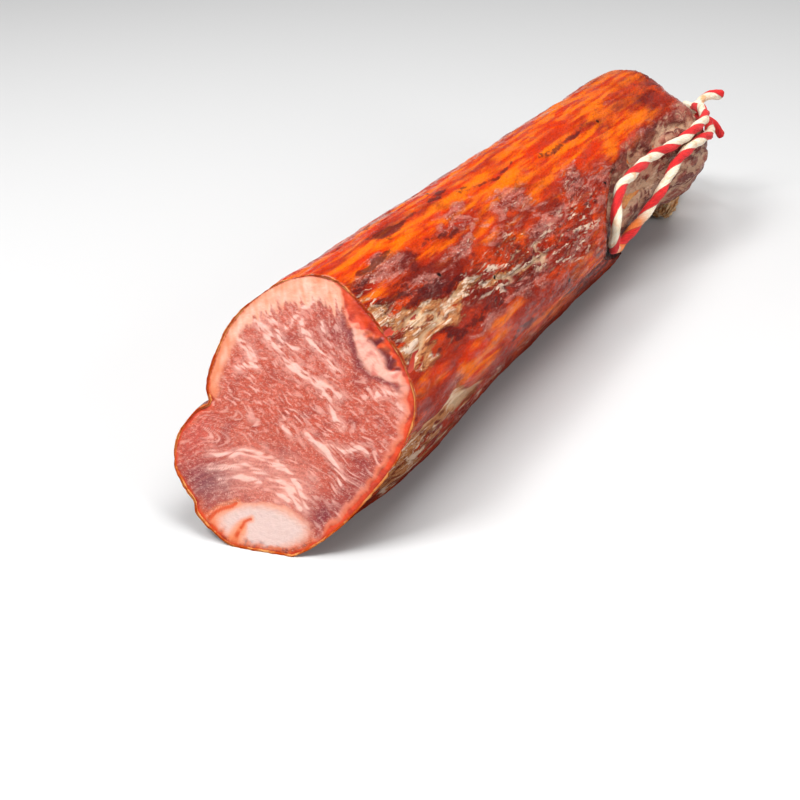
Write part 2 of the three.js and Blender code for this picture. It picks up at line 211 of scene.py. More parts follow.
# Colours as display values from 0 to 255.
HUES = {
    "lean": (198, 84, 62), "pale lean": (212, 104, 84), "dark lean": (150, 50, 46),
    "purple lean": (112, 38, 56), "lobe": (205, 85, 75), "marbling": (244, 194, 180),
    "cap": (242, 194, 172), "warm cap": (230, 136, 98), "hook shade": (120, 42, 52),
    "pocket": (104, 26, 34), "hot pocket": (226, 72, 24), "pocket fat": (215, 150, 150),
    "hook": (242, 180, 162), "warm hook": (214, 118, 104), "band": (218, 138, 118),
    "lens": (224, 194, 186), "lens rim": (230, 160, 134), "crust": (214, 98, 46),
    "dark crust": (120, 46, 48), "vein halo": (238, 140, 92), "vein": (212, 74, 30),
    "rim": (226, 66, 10), "dark rim": (160, 24, 10), "glow": (234, 108, 56),
    "hidden meat": (150, 50, 45), "fibre shade": (112, 36, 34), "fibre fat": (240, 190, 172),
    "maroon": (108, 22, 14), "russet": (168, 40, 12), "rust": (206, 62, 12),
    "dark maroon": (112, 26, 22), "red oil": (214, 50, 2), "orange oil": (250, 116, 4),
    "dull maroon": (104, 26, 22), "dusty pink": (196, 122, 108), "pale pink": (232, 190, 178),
    "sparkle": (246, 218, 206), "dusky": (72, 14, 16), "straw": (176, 94, 46),
    "pale straw": (216, 158, 106), "straw valley": (108, 42, 30), "straw crest": (252, 228, 204),
    "grey brown": (96, 34, 28), "grey pink": (164, 96, 80), "veil": (222, 182, 150),
    "fleck": (84, 16, 14), "crease": (246, 214, 188), "ridge": (244, 206, 166),
    "hollow": (64, 12, 10), "low flank": (70, 22, 12), "tan": (198, 138, 84),
    "pale tan": (240, 206, 160), "edge": (200, 76, 24), "pale edge": (232, 158, 92),
    "right edge": (158, 40, 14), "crevice": (14, 4, 4), "prick": (22, 8, 8),
    "cream": (240, 214, 178), "pale cream": (255, 246, 226), "stain": (232, 150, 66),
    "soaked": (248, 122, 16), "red ply": (200, 8, 14), "bright red ply": (242, 24, 24),
    "groove": (96, 30, 26),
}


def hue(name):
    """A colour from HUES as scene values."""
    display = np.array(HUES[name]) / 255
    return np.where(display < 0.04045, display / 12.92, ((display + 0.055) / 1.055) ** 2.4)


def blend(base, colour, share):
    """From base to colour, point by point."""
    return base + (np.asarray(colour) - base) * share[..., None]


# ---- The loin's surface ----

def column_spread(total):
    """Shares of the columns and the ways around where they stand: closer where the skin is crinkled."""
    way = np.linspace(0, total, 400)
    density = 1 + CLOSER * bump(way, CLOSER_WAYS)
    filled = np.r_[0, np.cumsum((density[1:] + density[:-1]) / 2)]
    return filled / filled[-1], way


def section_columns(count):
    """Places around the section: point, outward normal, angle, way around in mm and its share."""
    points = np.array([
        (across / 100 * WIDTH + SECTION_MIDDLE, up / 100 * HEIGHT - REST_SINK) for across, up in SECTION
    ])
    total = len(points)
    share = np.arange(total * 60) / 60
    at = np.floor(share).astype(int)
    t = (share - at)[:, None]
    a, b, c, d = (points[(at + k) % total] for k in (-1, 0, 1, 2))
    line = 0.5 * (2 * b + (c - a) * t + (2 * a - 5 * b + 4 * c - d) * t ** 2
                  + (3 * b - a - 3 * c + d) * t ** 3)
    closed = np.vstack([line, line[:1]])
    lengths = np.r_[0, np.cumsum(np.linalg.norm(np.diff(closed, axis=0), axis=1))]
    even = np.arange(count) / count
    way = np.interp(even, *column_spread(lengths[-1]))
    place = np.stack([np.interp(way, lengths, closed[:, k]) for k in (0, 1)], axis=1)
    run = np.roll(place, -1, axis=0) - np.roll(place, 1, axis=0)
    normal = np.stack([run[:, 1], -run[:, 0]], axis=1)
    normal /= np.linalg.norm(normal, axis=1, keepdims=True)
    angle = np.degrees(np.arctan2(place[:, 1] - CORE[1], place[:, 0] - CORE[0]))
    return {"place": place, "normal": normal, "angle": angle, "way": way, "turn": way / lengths[-1]}


def lip_distance(angle):
    """How far along the loin the dent's lip is."""
    return LENGTH - DENT_REACH + DENT_BOW * np.minimum(np.abs(angle - DENT_ANGLE), DENT_SPREAD) ** 2


def skin(columns, along, inset=0.0, scale=1.0):
    """Points of the surface that lies inset inside the outside, at distances along the loin."""
    angle = columns["angle"]
    lip = lip_distance(angle)
    raised = step(lip, lip + DENT_STEP, along) * DENT[0] * bump(along, DENT[1]) * bump(angle, DENT[2])
    for depth, stretch, sector in SWELLS:
        raised = raised + depth * bump(along, stretch) * bump(angle, sector)
    out = columns["place"] - CORE
    grown = out * (1 + raised / np.linalg.norm(out, axis=-1))[..., None]
    flat = CORE + (grown - columns["normal"] * inset) * np.asarray(scale)[..., None]
    return stack(flat[..., 0], along, np.maximum(flat[..., 1], inset))


def cut_distance(x, z):
    return CUT_LEAN * z + CUT_YAW * x


def cut_ring(columns, inset):
    """The skin's edge on the cut."""
    start = skin(columns, np.zeros(len(columns["angle"])), inset)
    ring = skin(columns, cut_distance(start[:, 0], start[:, 2]), inset)
    ring[:, 1] = cut_distance(ring[:, 0], ring[:, 2])
    return ring


def skin_rings(columns, inset, front, back, dome):
    """Rings from the cut to the end of the dome, at shares of the front, of the back and of the dome."""
    edge = cut_ring(columns, inset)
    lip = lip_distance(columns["angle"])
    rings = [edge]
    for share in front[1:]:
        rings.append(skin(columns, edge[:, 1] * (1 - share) + lip * share, inset))
    foot = lip + DENT_STEP
    start = LENGTH - END_ROUNDING
    for share in back:
        rings.append(skin(columns, foot * (1 - share) + start * share, inset))
    for share in dome:
        turn = DOME_TURN * share
        along = start + (END_ROUNDING - inset) * math.sin(turn) ** END_POWER
        rings.append(skin(columns, np.full(len(lip), along), inset, math.cos(turn) ** END_POWER))
    return np.array(rings)


def oval_rings(middles, ways, halves, shares):
    """Oval rings across a line: middles and directions (n, 3), half width and thickness (n, 2)."""
    wide = np.array([1.0, 0, 0]) - ways * ways[:, :1]
    wide /= np.linalg.norm(wide, axis=1, keepdims=True)
    thick = np.cross(wide, ways)
    turn = 2 * np.pi * shares - np.pi / 2
    return (middles[:, None] + wide[:, None] * (halves[:, :1] * np.cos(turn))[..., None]
            + thick[:, None] * (halves[:, 1:] * np.sin(turn))[..., None])


def directions(line):
    way = np.gradient(line, axis=0)
    return way / np.linalg.norm(way, axis=1, keepdims=True)


def neck_rings(shares):
    """The neck, wider where it leaves the dome."""
    along = np.linspace(1.0, NECK_END - 0.6, NECK_RINGS)
    radius = NECK_RADIUS * (1 + (NECK_FLARE - 1) * (1 - step(1, 3, along)))
    middles = stack(0.0, LENGTH + along, NECK_HEIGHT)
    ways = np.tile([0.0, 1.0, 0.0], (len(along), 1))
    return oval_rings(middles, ways, np.stack([radius, radius], axis=1), shares)


def tail_rings(shares):
    """The dried end of the casing: a flat, wrinkled tongue with a wavy rim."""
    route = np.array(TAIL_ROUTE)
    dense = resampled(spline(route, 12), 1.7)
    middles = dense[:, :3] + (0, LENGTH + NECK_END, NECK_HEIGHT)
    rings = oval_rings(middles, directions(middles), dense[:, 3:5], shares)
    turn = 2 * np.pi * shares - np.pi / 2
    share = np.linspace(0, 1, len(rings))[:, None]
    rim = np.abs(np.cos(turn)) ** 3
    wave = noise(stack(np.sign(np.cos(turn)) * 5, share * 9, 0.0)) * rim * step(0.1, 0.5, share)
    rings[..., 2] += 1.3 * wave
    rings[..., 0] += 0.9 * noise(stack(np.sign(np.cos(turn)) * 3, share * 14, 4.0)) * rim
    rings[..., 1] += 2.6 * noise(stack(np.cos(turn) * 2.3, 3.0, 7.0)) * step(0.8, 1, share)
    return rings


def grid_normals(rings):
    """Outward normals of a grid of rings."""
    across = np.roll(rings, -1, axis=1) - np.roll(rings, 1, axis=1)
    along = np.gradient(rings, axis=0)
    normal = np.cross(across, along)
    return normal / np.maximum(np.linalg.norm(normal, axis=-1, keepdims=True), 1e-9)


# ---- Zones of the casing's skin: distance along, way around, half length, half width, strength ----

ORANGE = [
    (70, 108, 60, 5, 0.9), (120, 107, 50, 6, 0.9), (165, 103, 45, 8, 1), (205, 95, 35, 7, 1),
    (245, 89, 30, 7, 0.9), (60, 120, 40, 7, 0.9), (140, 120, 60, 8, 0.8), (220, 115, 70, 14, 0.8),
    (75, 59, 13, 7, 1), (96, 62, 9, 4, 0.7), (50, 64, 9, 4, 0.6), (133, 47, 16, 4, 0.9),
    (172, 53, 13, 4, 0.8), (150, 40, 20, 4, 0.7), (57, 97, 10, 3, 0.6), (88, 96, 9, 4, 0.6),
    (135, 83, 10, 4, 0.5), (40, 118, 10, 8, 0.8), (90, 140, 50, 8, 0.7), (180, 150, 50, 10, 0.7),
    (280, 120, 40, 15, 0.6), (100, 172, 40, 8, 0.6), (50, 155, 20, 10, 0.6), (230, 175, 40, 10, 0.6),
    (185, 62, 9, 3, 0.5), (118, 91, 8, 3, 0.6), (160, 90, 12, 3, 0.6),
]
STRAW = [
    (44, 91, 5, 6, 0.85), (58, 79, 16, 2.6, 1), (78, 80, 20, 1.8, 1), (104, 76, 16, 1.6, 0.9),
    (54, 74, 15, 2.2, 1), (44, 76, 7, 5, 1), (130, 73, 14, 1.2, 0.7),
    (50, 93, 7, 3, 0.9), (50, 84, 8, 3, 0.8), (47, 76, 8, 4, 0.9), (62, 76, 14, 2.5, 1),
    (62, 82, 12, 1.6, 0.9), (82, 79.5, 14, 2, 0.9), (102, 76.5, 14, 1.6, 0.8), (38, 47, 12, 5, 1),
    (58, 49, 14, 3.5, 0.9), (36, 38, 16, 5, 1), (60, 38, 14, 4, 0.6), (25, 40, 9, 9, 1),
    (75, 46, 9, 2, 0.7), (100, 38, 14, 1.5, 0.6), (140, 36, 30, 1.5, 0.5), (30, 20, 20, 9, 0.7),
    (300, 60, 40, 20, 0.2), (120, 200, 60, 8, 0.5), (250, 30, 30, 12, 0.25), (48, 70, 5, 3, 0.6),
]
# Pale bloom, partly painted sheen: greyish-pink patches that stand for the wet casing's sheen.
BLOOM_AND_SHEEN = [
    (60, 102, 16, 4, 0.8), (112, 101, 16, 4, 0.8), (104, 92, 14, 5, 0.8), (142, 94, 14, 6, 0.9),
    (150, 81, 20, 5, 0.8), (186, 87, 14, 7, 0.9), (205, 78, 14, 7, 0.8), (60, 56, 8, 3, 0.7),
    (230, 62, 40, 18, 0.9), (280, 60, 40, 20, 0.9), (85, 42, 26, 4, 0.8), (130, 40, 30, 4, 0.5),
    (120, 66, 26, 5, 0.6), (70, 88, 9, 5, 0.7), (160, 66, 22, 6, 0.6), (90, 68, 12, 3, 0.7),
    (180, 130, 60, 5, 0.4), (70, 190, 60, 10, 0.6), (200, 200, 60, 10, 0.6), (140, 160, 30, 6, 0.5),
]
CRINKLE = [
    (48, 88, 8, 12, 1), (90, 80, 30, 4, 1), (120, 76, 30, 7, 1), (150, 72, 26, 8, 1),
    (175, 76, 20, 8, 0.7),
    (50, 90, 9, 9, 1), (60, 80, 16, 5, 0.9), (104, 76, 26, 4, 1), (135, 74, 24, 6, 1),
    (160, 70, 24, 7, 0.9), (130, 84, 16, 5, 0.6), (104, 92, 12, 4, 0.6), (145, 92, 10, 4, 0.6),
    (185, 86, 12, 5, 0.6), (100, 39, 40, 5, 0.8), (35, 45, 16, 8, 0.7), (250, 60, 50, 18, 0.5),
    (170, 60, 16, 4, 0.5), (220, 76, 12, 6, 0.7), (90, 182, 70, 12, 0.7), (210, 190, 60, 14, 0.6),
]
# Dark stains and streaks; low on the right flank they are also painted shade, darker where little light
# reaches.
DUSKY_AND_SHADE = [
    (50, 85, 9, 1.6, 1), (66, 86, 12, 1.8, 0.9), (54, 78, 12, 1.2, 0.8), (84, 84, 10, 2, 0.7),
    (55, 94, 6, 1.6, 0.8),
    (85, 112.5, 14, 1.6, 1), (118, 113, 7, 1.6, 0.9), (58, 105, 12, 1.6, 0.8), (98, 100, 10, 2, 0.6),
    (48, 101, 5, 2, 0.7), (66, 92, 7, 3, 0.6), (76, 96, 5, 2, 0.6), (70, 71, 20, 1.6, 0.7),
    (100, 70, 20, 2, 0.6), (150, 107, 25, 1.6, 0.7), (175, 78, 22, 3, 0.5), (110, 52, 22, 3, 0.6),
    (205, 102, 30, 2, 0.6), (170, 45, 26, 4, 0.5), (248, 60, 26, 13, 0.6), (215, 52, 14, 8, 0.7),
    (80, 124, 30, 1.5, 0.6), (130, 130, 30, 2, 0.6), (60, 135, 25, 2, 0.6), (150, 145, 40, 3, 0.5),
]
# Raised folds of loose casing, each as distances along, ways around, height and half width.
FOLDS = [
    ([40, 52, 66, 80], [84, 82, 82.5, 81], 1.0, 1.3),
    ([66, 82, 100, 118, 136], [79, 80, 76.5, 75, 71], 0.9, 1.1),
    ([41, 50, 60, 72], [73, 74.5, 76.5, 76], 1.2, 1.6),
    ([44, 56, 70], [69.5, 71, 71.5], 0.5, 0.9),
    ([30, 45, 62, 78, 96, 116], [50, 51, 50, 48, 45, 41], 0.9, 1.2),
    ([26, 44, 60, 84], [44, 43, 44, 41], 0.5, 1.0),
    ([110, 128, 146, 166], [70, 68, 64, 60], 0.5, 1.1),
    ([60, 100, 150, 200, 250], [150, 153, 149, 152, 148], 0.7, 1.6),
    ([50, 90, 140, 190], [186, 183, 186, 181], 0.8, 1.6),
    ([212, 232, 256, 280], [66, 63, 64, 60], 0.9, 1.8),
    ([222, 240, 262], [54, 51, 52], 0.7, 1.4),
    ([230, 252, 280, 300], [78, 76, 79, 77], 0.7, 1.6),
]
# Holes from the pricking of the casing: distance along and way around.
PRICKS = [(81, 89), (104, 77), (149, 57), (204, 78), (212, 76), (120, 118), (66, 150), (160, 165),
          (130, 195), (236, 100)]
PRICK_RADIUS = 0.8
PRICK_DEPTH = 0.7
# The dent's lip: its rise and the groove under it in mm, and the sectors where it shows, where the
# skin behind it wrinkles and where painted shade lies in it, each as start, full, fade and gone.
LIP_RISE = 0.9
LIP_GROOVE = 1.0
LIP_SECTOR = (-56, -44, 40, 54)
BEHIND_LIP_SECTOR = (-70, -50, 40, 64)
CREVICE_SECTOR = (-54, -44, 40, 52)
CREVICE = (-0.6, 0.4, 2.8, 4.8)
# Pleats around the gathered end, the rings of the neck that they fade over, ridges on the tail, and
# how far before the end the pleats begin.
PLEATS = 13
PLEAT_RINGS = 24
TAIL_RIDGES = 21
DOME_REACH = 26
# The relief that fits under the binding, and how wide the casing's edge shows on the cut.
TIED_RELIEF = 0.45
EDGE_REACH = 1.3


def zone(patches, along, way):
    """How strongly the patches cover each place, 0 to 1."""
    total = np.zeros(along.shape)
    for at, around, length, width, strength in patches:
        reach = ((along - at) / length) ** 2 + ((way - around) / width) ** 2
        total = np.maximum(total, strength * np.exp(-0.8 * reach ** 1.3))
    return total


def folds(along, way):
    total = np.zeros(along.shape)
    for ats, arounds, height, width in FOLDS:
        middle = np.interp(along, ats, arounds)
        ends = bump(along, (ats[0] - 8, ats[0] + 6, ats[-1] - 10, ats[-1] + 8))
        total += 1.35 * height * ends * np.exp(-np.abs((way - middle) / width) ** 1.3)
    return total


class Skin:
    """Fields over the casing's outside: where each point is and what covers it."""

    def __init__(self, columns):
        shell = skin_rings(columns, 0.0, FRONT_SHARES, BACK_SHARES, DOME_SHARES)
        turn = columns["turn"]
        self.turn = turn
        self.angle = columns["angle"]
        self.grid = np.concatenate([shell, neck_rings(turn), tail_rings(turn)])
        self.normal = grid_normals(self.grid)
        self.along = self.grid[..., 1].copy()
        self.way = np.broadcast_to(columns["way"], self.along.shape).copy()
        self.beyond = np.arange(len(self.grid))[:, None] - len(shell)
        self.shell = (self.beyond < 0).astype(float)
        self.on_dome = step(LENGTH - DOME_REACH, LENGTH, self.along) * self.shell
        self.soft = self.grid / (1, 2.6, 1)
        self.bend()
        self.cover()

    def bend(self):
        """Places along and around that wander, so that no patch has an even rim."""
        soft = self.soft
        self.bent_way = self.way + noise(soft / 9) * 4.2 + noise(soft / 3.5) * 1.8
        self.bent_along = self.along + noise(soft / 7 + 40) * 9 + noise(soft / 3 + 60) * 4

    def cover(self):
        """Where the skin is crinkled, and where it lies behind the dent's lip."""
        self.lip_gap = self.along - lip_distance(self.angle)
        self.behind_lip = step(0, 6, self.lip_gap) * bump(self.angle, BEHIND_LIP_SECTOR)
        loose = np.maximum(zone(CRINKLE, self.bent_along, self.bent_way), 0.22)
        crinkled = loose * self.shell + (1 - self.shell)
        self.crinkled = np.maximum(crinkled, 0.35 * self.behind_lip * self.shell)

    def loose_relief(self):
        """Raised folds, broad swells and wrinkles."""
        grid, soft, crinkled = self.grid, self.soft, self.crinkled
        raised = folds(self.along, self.bent_way) * self.shell
        raised += 0.6 * noise(soft / 16 + 5) + 0.5 * noise(soft / 6.5 + 25) * self.shell
        wrinkle = ridges(grid / (3.4, 11, 3.4) + noise(grid / 14)[..., None] * 0.7, 2)
        raised += 1.1 * crinkled * (step(0.74, 1, wrinkle) - 0.2)
        raised += 0.5 * crinkled * noise(soft / 4.5 + 31)
        calm = 1 - 0.7 * self.behind_lip
        return raised + (0.12 + 0.2 * crinkled) * calm * noise(grid / (1.5, 5, 1.5))

    def lip_relief(self):
        """The dent's raised lip, the groove under it and the lumps behind it."""
        lump = step(0.45, 1.0, ridges(self.grid / (8, 12, 8) + 3, 1))
        swell = LIP_RISE * np.exp(-((self.lip_gap + 1.4) / 2.0) ** 2)
        groove = LIP_GROOVE * np.exp(-((self.lip_gap - 3.4) / 1.5) ** 2)
        lip = bump(self.angle, LIP_SECTOR) * (swell - groove)
        return self.shell * (1.3 * self.behind_lip * lump + lip)

    def gathered_relief(self):
        """Pleats that gather into the neck, and ridges along the tail."""
        turn = np.radians(self.angle)
        ripple = noise(stack(np.cos(turn) * 2, np.sin(turn) * 2, self.along / 30))
        pleat = np.sin(turn * PLEATS + 2.4 * ripple)
        on_neck = (1 - self.shell) * (self.beyond < PLEAT_RINGS)
        gather = 1.1 * self.on_dome + 0.85 * on_neck * (1 - 0.4 * step(8, PLEAT_RINGS, self.beyond))
        raised = 0.8 * gather * (np.abs(pleat) ** 0.7 * np.sign(pleat))
        lengthwise = np.sin(2 * np.pi * self.turn * TAIL_RIDGES + 1.5 * noise(self.soft / 6))
        return raised + 0.3 * lengthwise * (self.beyond >= NECK_RINGS)

    def relief(self):
        """How far each point stands out from the smooth skin, little where it rests or is tied."""
        raised = self.loose_relief() + self.lip_relief() + self.gathered_relief()
        for at, around in PRICKS:
            reach = np.hypot(self.along - at, self.way - around)
            raised -= PRICK_DEPTH * self.shell * np.exp(-(reach / PRICK_RADIUS) ** 2)
        resting = 1 - step(0.3, 6, self.grid[..., 2])
        raised *= 1 - 0.92 * resting * self.shell
        tied = (self.beyond >= 0) & (self.beyond < NECK_RINGS) & (self.along > LENGTH + 2.2)
        return np.where(tied, np.minimum(raised, TIED_RELIEF), raised)

    def marks(self, raised):
        """What covers each point, for the material."""
        bent = (self.bent_along, self.bent_way)
        shell = self.shell
        edge = 1 - step(0, EDGE_REACH, self.along - self.grid[0, :, 1])
        return {
            "orange": zone(ORANGE, *bent),
            "straw": np.maximum(zone(STRAW, *bent) * shell, 1 - shell),
            "bloom_and_sheen": np.maximum(zone(BLOOM_AND_SHEEN, *bent), 0.7 * self.behind_lip) * shell,
            "crinkle": self.crinkled * shell + 0.6 * (1 - shell),
            "dusky": zone(DUSKY_AND_SHADE, *bent) * shell,
            "raised": raised,
            "edge": edge * shell,
            "crevice": bump(self.lip_gap, CREVICE) * bump(self.angle, CREVICE_SECTOR) * shell,
            "behind": np.maximum(self.behind_lip * shell, 0.6 * self.on_dome),
            "tail": np.broadcast_to(1 - shell, self.along.shape),
            "along": self.along,
            "way": self.way,
        }


def casing():
    """The casing: one closed body with the inside, the cut edge, the outside, neck and tail."""
    columns = section_columns(COLUMNS)
    outside = Skin(columns)
    raised = outside.relief()
    grid = outside.grid + outside.normal * raised[..., None]
    way = outside.way
    ragged = 0.3 * noise(stack(way / 1.7, 0.0, 0.0)) + 0.4 * noise(stack(way / 6, 3.0, 0.0))
    grid[..., 1] += ragged * (1 - step(0, 5, outside.along - grid[0, :, 1])) * outside.shell
    grid[..., 2] = np.maximum(grid[..., 2], 0.0)

    inner = skin_rings(columns, INNER_DEPTH, INNER_SHARES, INNER_BACK, INNER_DOME)
    inner[0] = cut_ring(columns, WALL)
    inner[0, :, 1] += ragged[0] * 0.8
    rings = np.concatenate([inner[::-1], grid])
    marks = {}
    for key, values in outside.marks(raised).items():
        inside = np.full((len(inner), COLUMNS), 1.0 if key == "edge" else 0.0)
        marks[key] = np.concatenate([inside, values])
    start = np.array([CORE[0], LENGTH - INNER_DEPTH, CORE[1]])
    return loft("casing_skin", rings, start, rings[-1].mean(axis=0), marks)


# ---- The meat's cut face ----

FACE_COLUMNS = 700
FACE_RINGS = 122
# How much deeper than the casing's inside the meat's hidden flank lies, and a distance past any.
MEAT_GAP = 0.4
FAR = 1e9
# By angle around the core: how deep the pale fat reaches in from the rim, and the red-orange rim.
CAP_ANGLES = (-180, -176, 0, 70, 78, 84, 92, 104, 118, 132, 146, 160, 170, 176, 180)
CAP_DEPTHS = (-1, -2, -2, -2, 2.5, 5.5, 6.4, 7.4, 6.0, 4.8, 4.2, 3.8, 3.4, 1.5, -1)
RIM_ANGLES = (-180, -165, -150, -140, -128, -112, -95, -80, -62, -50, -35, -15, 0, 15, 26, 40, 56,
              68, 75, 82, 90, 150, 180)
RIM_DEPTHS = (0.8, 1.0, 0.6, 0.7, 1.2, 0.9, 0.5, 0.5, 1.2, 1.6, 1.9, 2.0, 1.6, 1.5, 0.9, 0.9, 1.5,
              4.4, 5.4, 1.8, 0.3, 0.4, 0.7)
BAND_ANGLES = (-75, -60, -50, -20, 5, 20, 30)
BAND_DEPTHS = (0, 0.9, 1.7, 1.5, 1.9, 2.6, 0)

# Streaks of fat on the cut, across and up, with half widths in mm.
FAT_STREAKS = [
    ([(-22, 61), (-18, 58), (-13, 54), (-8, 50.5), (-4, 48.5), (0, 47), (4, 45.5), (9, 44)], 1.1),
    ([(-26, 55), (-22, 53), (-18, 49), (-24, 48)], 0.8),
    ([(-20, 64), (-16, 60), (-11, 56), (-7, 55)], 0.7),
    ([(-8, 62), (-5, 58), (-1, 55), (3, 53), (7, 50)], 0.6),
    ([(4, 44), (7, 42), (10, 38), (12, 36)], 0.7),
    ([(-5, 34), (-1, 32)], 0.9),
    ([(3, 33), (6, 31), (10, 28.5), (14, 25), (17, 22)], 0.8),
    ([(9, 30), (14, 29.5), (19, 31), (22, 30.5)], 0.7),
    ([(20, 45.5), (24, 46), (29, 46.5)], 0.9),
    ([(27, 43.5), (30, 42)], 1.1),
    ([(-27, 24.5), (-22, 24), (-16, 25), (-10, 25.3), (-4, 24), (1, 21), (5, 17.5), (8.5, 13)], 0.8),
    ([(-24, 20.5), (-17, 21.5), (-10, 21.5), (-3, 20), (2, 17), (6, 13)], 0.9),
    ([(-20, 17), (-14, 18.5), (-8, 18.5), (-2, 16.5), (3, 13.5)], 0.7),
    ([(-12, 60), (-9, 64), (-6, 67)], 0.6),
    ([(-2, 62), (0, 59), (3, 57)], 0.5),
]
HOOK = [
    ([(5.5, 66.5), (8.5, 63), (10.5, 59.5), (13, 56)], 1.6),
    ([(13.5, 56.5), (15.5, 54.3), (18, 52.8)], 2.5),
    ([(18.5, 52), (21.5, 50.6), (25, 50.8), (28.5, 49.6)], 1.4),
    ([(27, 51), (29, 47.5)], 1.5),
]
POCKET = [(11.5, 66), (15, 62), (20, 57.5), (25.5, 53)]
LENS_MIDDLE = (-3.6, 6.6)
LENS_HALVES = (16.6, 6.6)
VEINS = [
    ([(-11, 0.5), (-10.6, 3)], 1.2),
    ([(-10.6, 3), (-10.2, 5.4)], 0.8),
    ([(-10.2, 5.4), (-9.3, 7), (-7.4, 8.2)], 0.45),
    ([(-20, 6.5), (-17, 9.5), (-13.5, 11.6)], 0.7),
]
# Soft spots on the cut: across, up, half width, half height and strength.
PURPLE_SPOTS = [(-25, 16, 9, 7, 1), (14, 12, 7, 5, 0.7), (22, 22, 7, 9, 0.5), (5, 60, 9, 5, 0.5)]
LOBE_SPOT = [(-32, 28, 6, 8, 1)]
LEAN_SPOT = [(-24, 18, 9, 9, 1)]


def near_line(points, line, half_width):
    """1 on the line, fading to 0 past its half width. points are (..., 2)."""
    best = np.full(points.shape[:-1], FAR)
    for a, b in zip(line, line[1:]):
        a = np.asarray(a, float)
        run = np.asarray(b, float) - a
        share = np.clip(((points - a) @ run) / (run @ run), 0, 1)
        best = np.minimum(best, np.linalg.norm(points - a - share[..., None] * run, axis=-1))
    return 1 - step(0.55 * half_width, 1.35 * half_width, best)


def flow(x, z):
    """Coordinates across and along the meat's grain: slanting above, in arcs around the lens below."""
    reach = np.hypot((x + 6) * 0.72, z + 1)
    arc = np.arctan2(z + 1, (x + 6) * 0.72) * 18
    slant_across = z * 0.9 + x * 0.44
    slant_along = x * 0.9 - z * 0.44
    above = step(24, 33, z + 0.15 * x)
    return reach * (1 - above) + slant_across * above, arc * (1 - above) - slant_along * above


class Face:
    """Fields over the cut face: places in mm, wandering places, the meat's grain and its noise."""

    def __init__(self, x, z, angle, depth):
        flat = stack(x, z, 0.0)
        self.x, self.z, self.angle, self.depth, self.flat = x, z, angle, depth, flat
        self.wide = noise(flat / 6) * 1.3 + noise(flat / 2.4 + 30) * 0.55
        self.tall = noise(flat / 6 + 11) * 1.3 + noise(flat / 2.4 + 50) * 0.55
        self.bent = stack(x + 0.7 * self.wide, z + 0.7 * self.tall)
        self.across, self.grain = flow(x + 1.1 * noise(flat / 7), z + 1.1 * noise(flat / 7 + 11))
        self.streaky = self.grained(1.1, 5, 2.0)
        self.fine = self.grained(0.55, 2.2, 5.0)
        self.finger = noise(stack((0.9 * x + 0.45 * z) / 1.1, (0.9 * z - 0.45 * x) / 6, 22.0))
        self.feather = 2.4 * self.finger + 0.8 * self.fine

    def grained(self, width, length, layer):
        """Noise in cells of that width and length along the meat's grain."""
        return noise(stack(self.across / width, self.grain / length, layer))

    def spots(self, table):
        """The sum of soft spots: across, up, half width, half height and strength of each."""
        return sum(
            strength * np.exp(-((self.x - at) / width) ** 2 - ((self.z - up) / height) ** 2)
            for at, up, width, height, strength in table
        )

    def near(self, lines, wider=1.0, places=None):
        """1 on any of the lines, each a route with its half width."""
        places = self.bent if places is None else places
        return np.maximum.reduce([near_line(places, line, width * wider) for line, width in lines])


def lean_colour(face):
    """The lean meat: streaked, darker and purple in places."""
    colour = blend(hue("lean"), hue("pale lean"), step(-0.3, 0.9, face.streaky))
    dark = step(0.0, 0.9, noise(face.flat / 5 + 70) + 0.3 * face.fine)
    colour = blend(colour, hue("dark lean"), 0.75 * dark)
    purple = face.spots(PURPLE_SPOTS)
    purple = np.clip(purple + 0.25 * face.streaky * purple, 0, 1)
    colour = blend(colour, hue("purple lean"), 0.95 * purple)
    return blend(colour, hue("lobe"), 0.6 * face.spots(LOBE_SPOT))


def marbling(face):
    """The share of fat between the fibres: dashes, streaks, specks, drawn streaks and arcs."""
    x, z, flat, fine = face.x, face.z, face.flat, face.fine
    patchy = step(-0.6, 0.6, noise(flat / 7 + 90) + 0.4 * noise(flat / 3 + 3))
    dashes = step(0.08, 0.5, face.grained(0.7, 3.2, 8.0) + 0.35 * fine)
    steep = step(0.12, 0.5, noise(stack((0.8 * x + 0.6 * z) / 0.9, (0.8 * z - 0.6 * x) / 3.2, 6.0)))
    streaks = step(0.2, 0.55, face.grained(1.5, 5.5, 3.0) + 0.25 * fine)
    specks = step(0.2, 0.7, noise(flat / 0.8 + 35))
    upper = step(46, 56, z) * step(-22, -12, x) * (1 - step(6, 12, x))
    fat = np.maximum((0.28 + 0.36 * patchy) * dashes, 0.45 * steep * upper)
    fat = np.maximum(fat, 0.5 * streaks * step(-0.35, 0.5, noise(flat / 6 + 21)))
    fat = fat * (1 - 0.22 * step(42, 54, z)) * (1 - 0.45 * face.spots(LEAN_SPOT))
    fat = np.maximum(fat, 0.4 * specks * (1 - 0.5 * patchy))
    drawn = np.maximum(0.95 * face.near(FAT_STREAKS, 1.15), 0.4 * face.near(FAT_STREAKS, 2.6))
    fat = np.maximum(fat, drawn * step(-0.7, 0.3, face.streaky + 0.8 * fine))
    bow = np.exp(-((z - 20 + 0.012 * (x + 8) ** 2) / 6.5) ** 2)
    arcs = bow * step(-32, -12, x) * (1 - step(6, 13, x))
    thread = face.grained(1.2, 20, 12.0) + 0.35 * fine
    return np.maximum(fat, arcs * (0.3 + 0.5 * step(-0.1, 0.6, thread)))


def cap_patch(face):
    """The pale fat that reaches in from the rim: colour and share."""
    above = 1 - step(122, 150, face.angle)
    reach = np.interp(face.angle, CAP_ANGLES, CAP_DEPTHS) + (0.25 + 0.9 * above) * face.feather
    warm = 0.3 + 0.5 * noise(face.flat / 4 + 60) + 0.35 * face.finger
    warm = warm + 0.5 * step(135, 160, face.angle) + 0.5 * step(2.6, 0.4, face.depth)
    colour = blend(hue("cap"), hue("warm cap"), np.clip(warm, 0, 1))
    return colour, step(-1.3, 1.3, reach - face.depth)


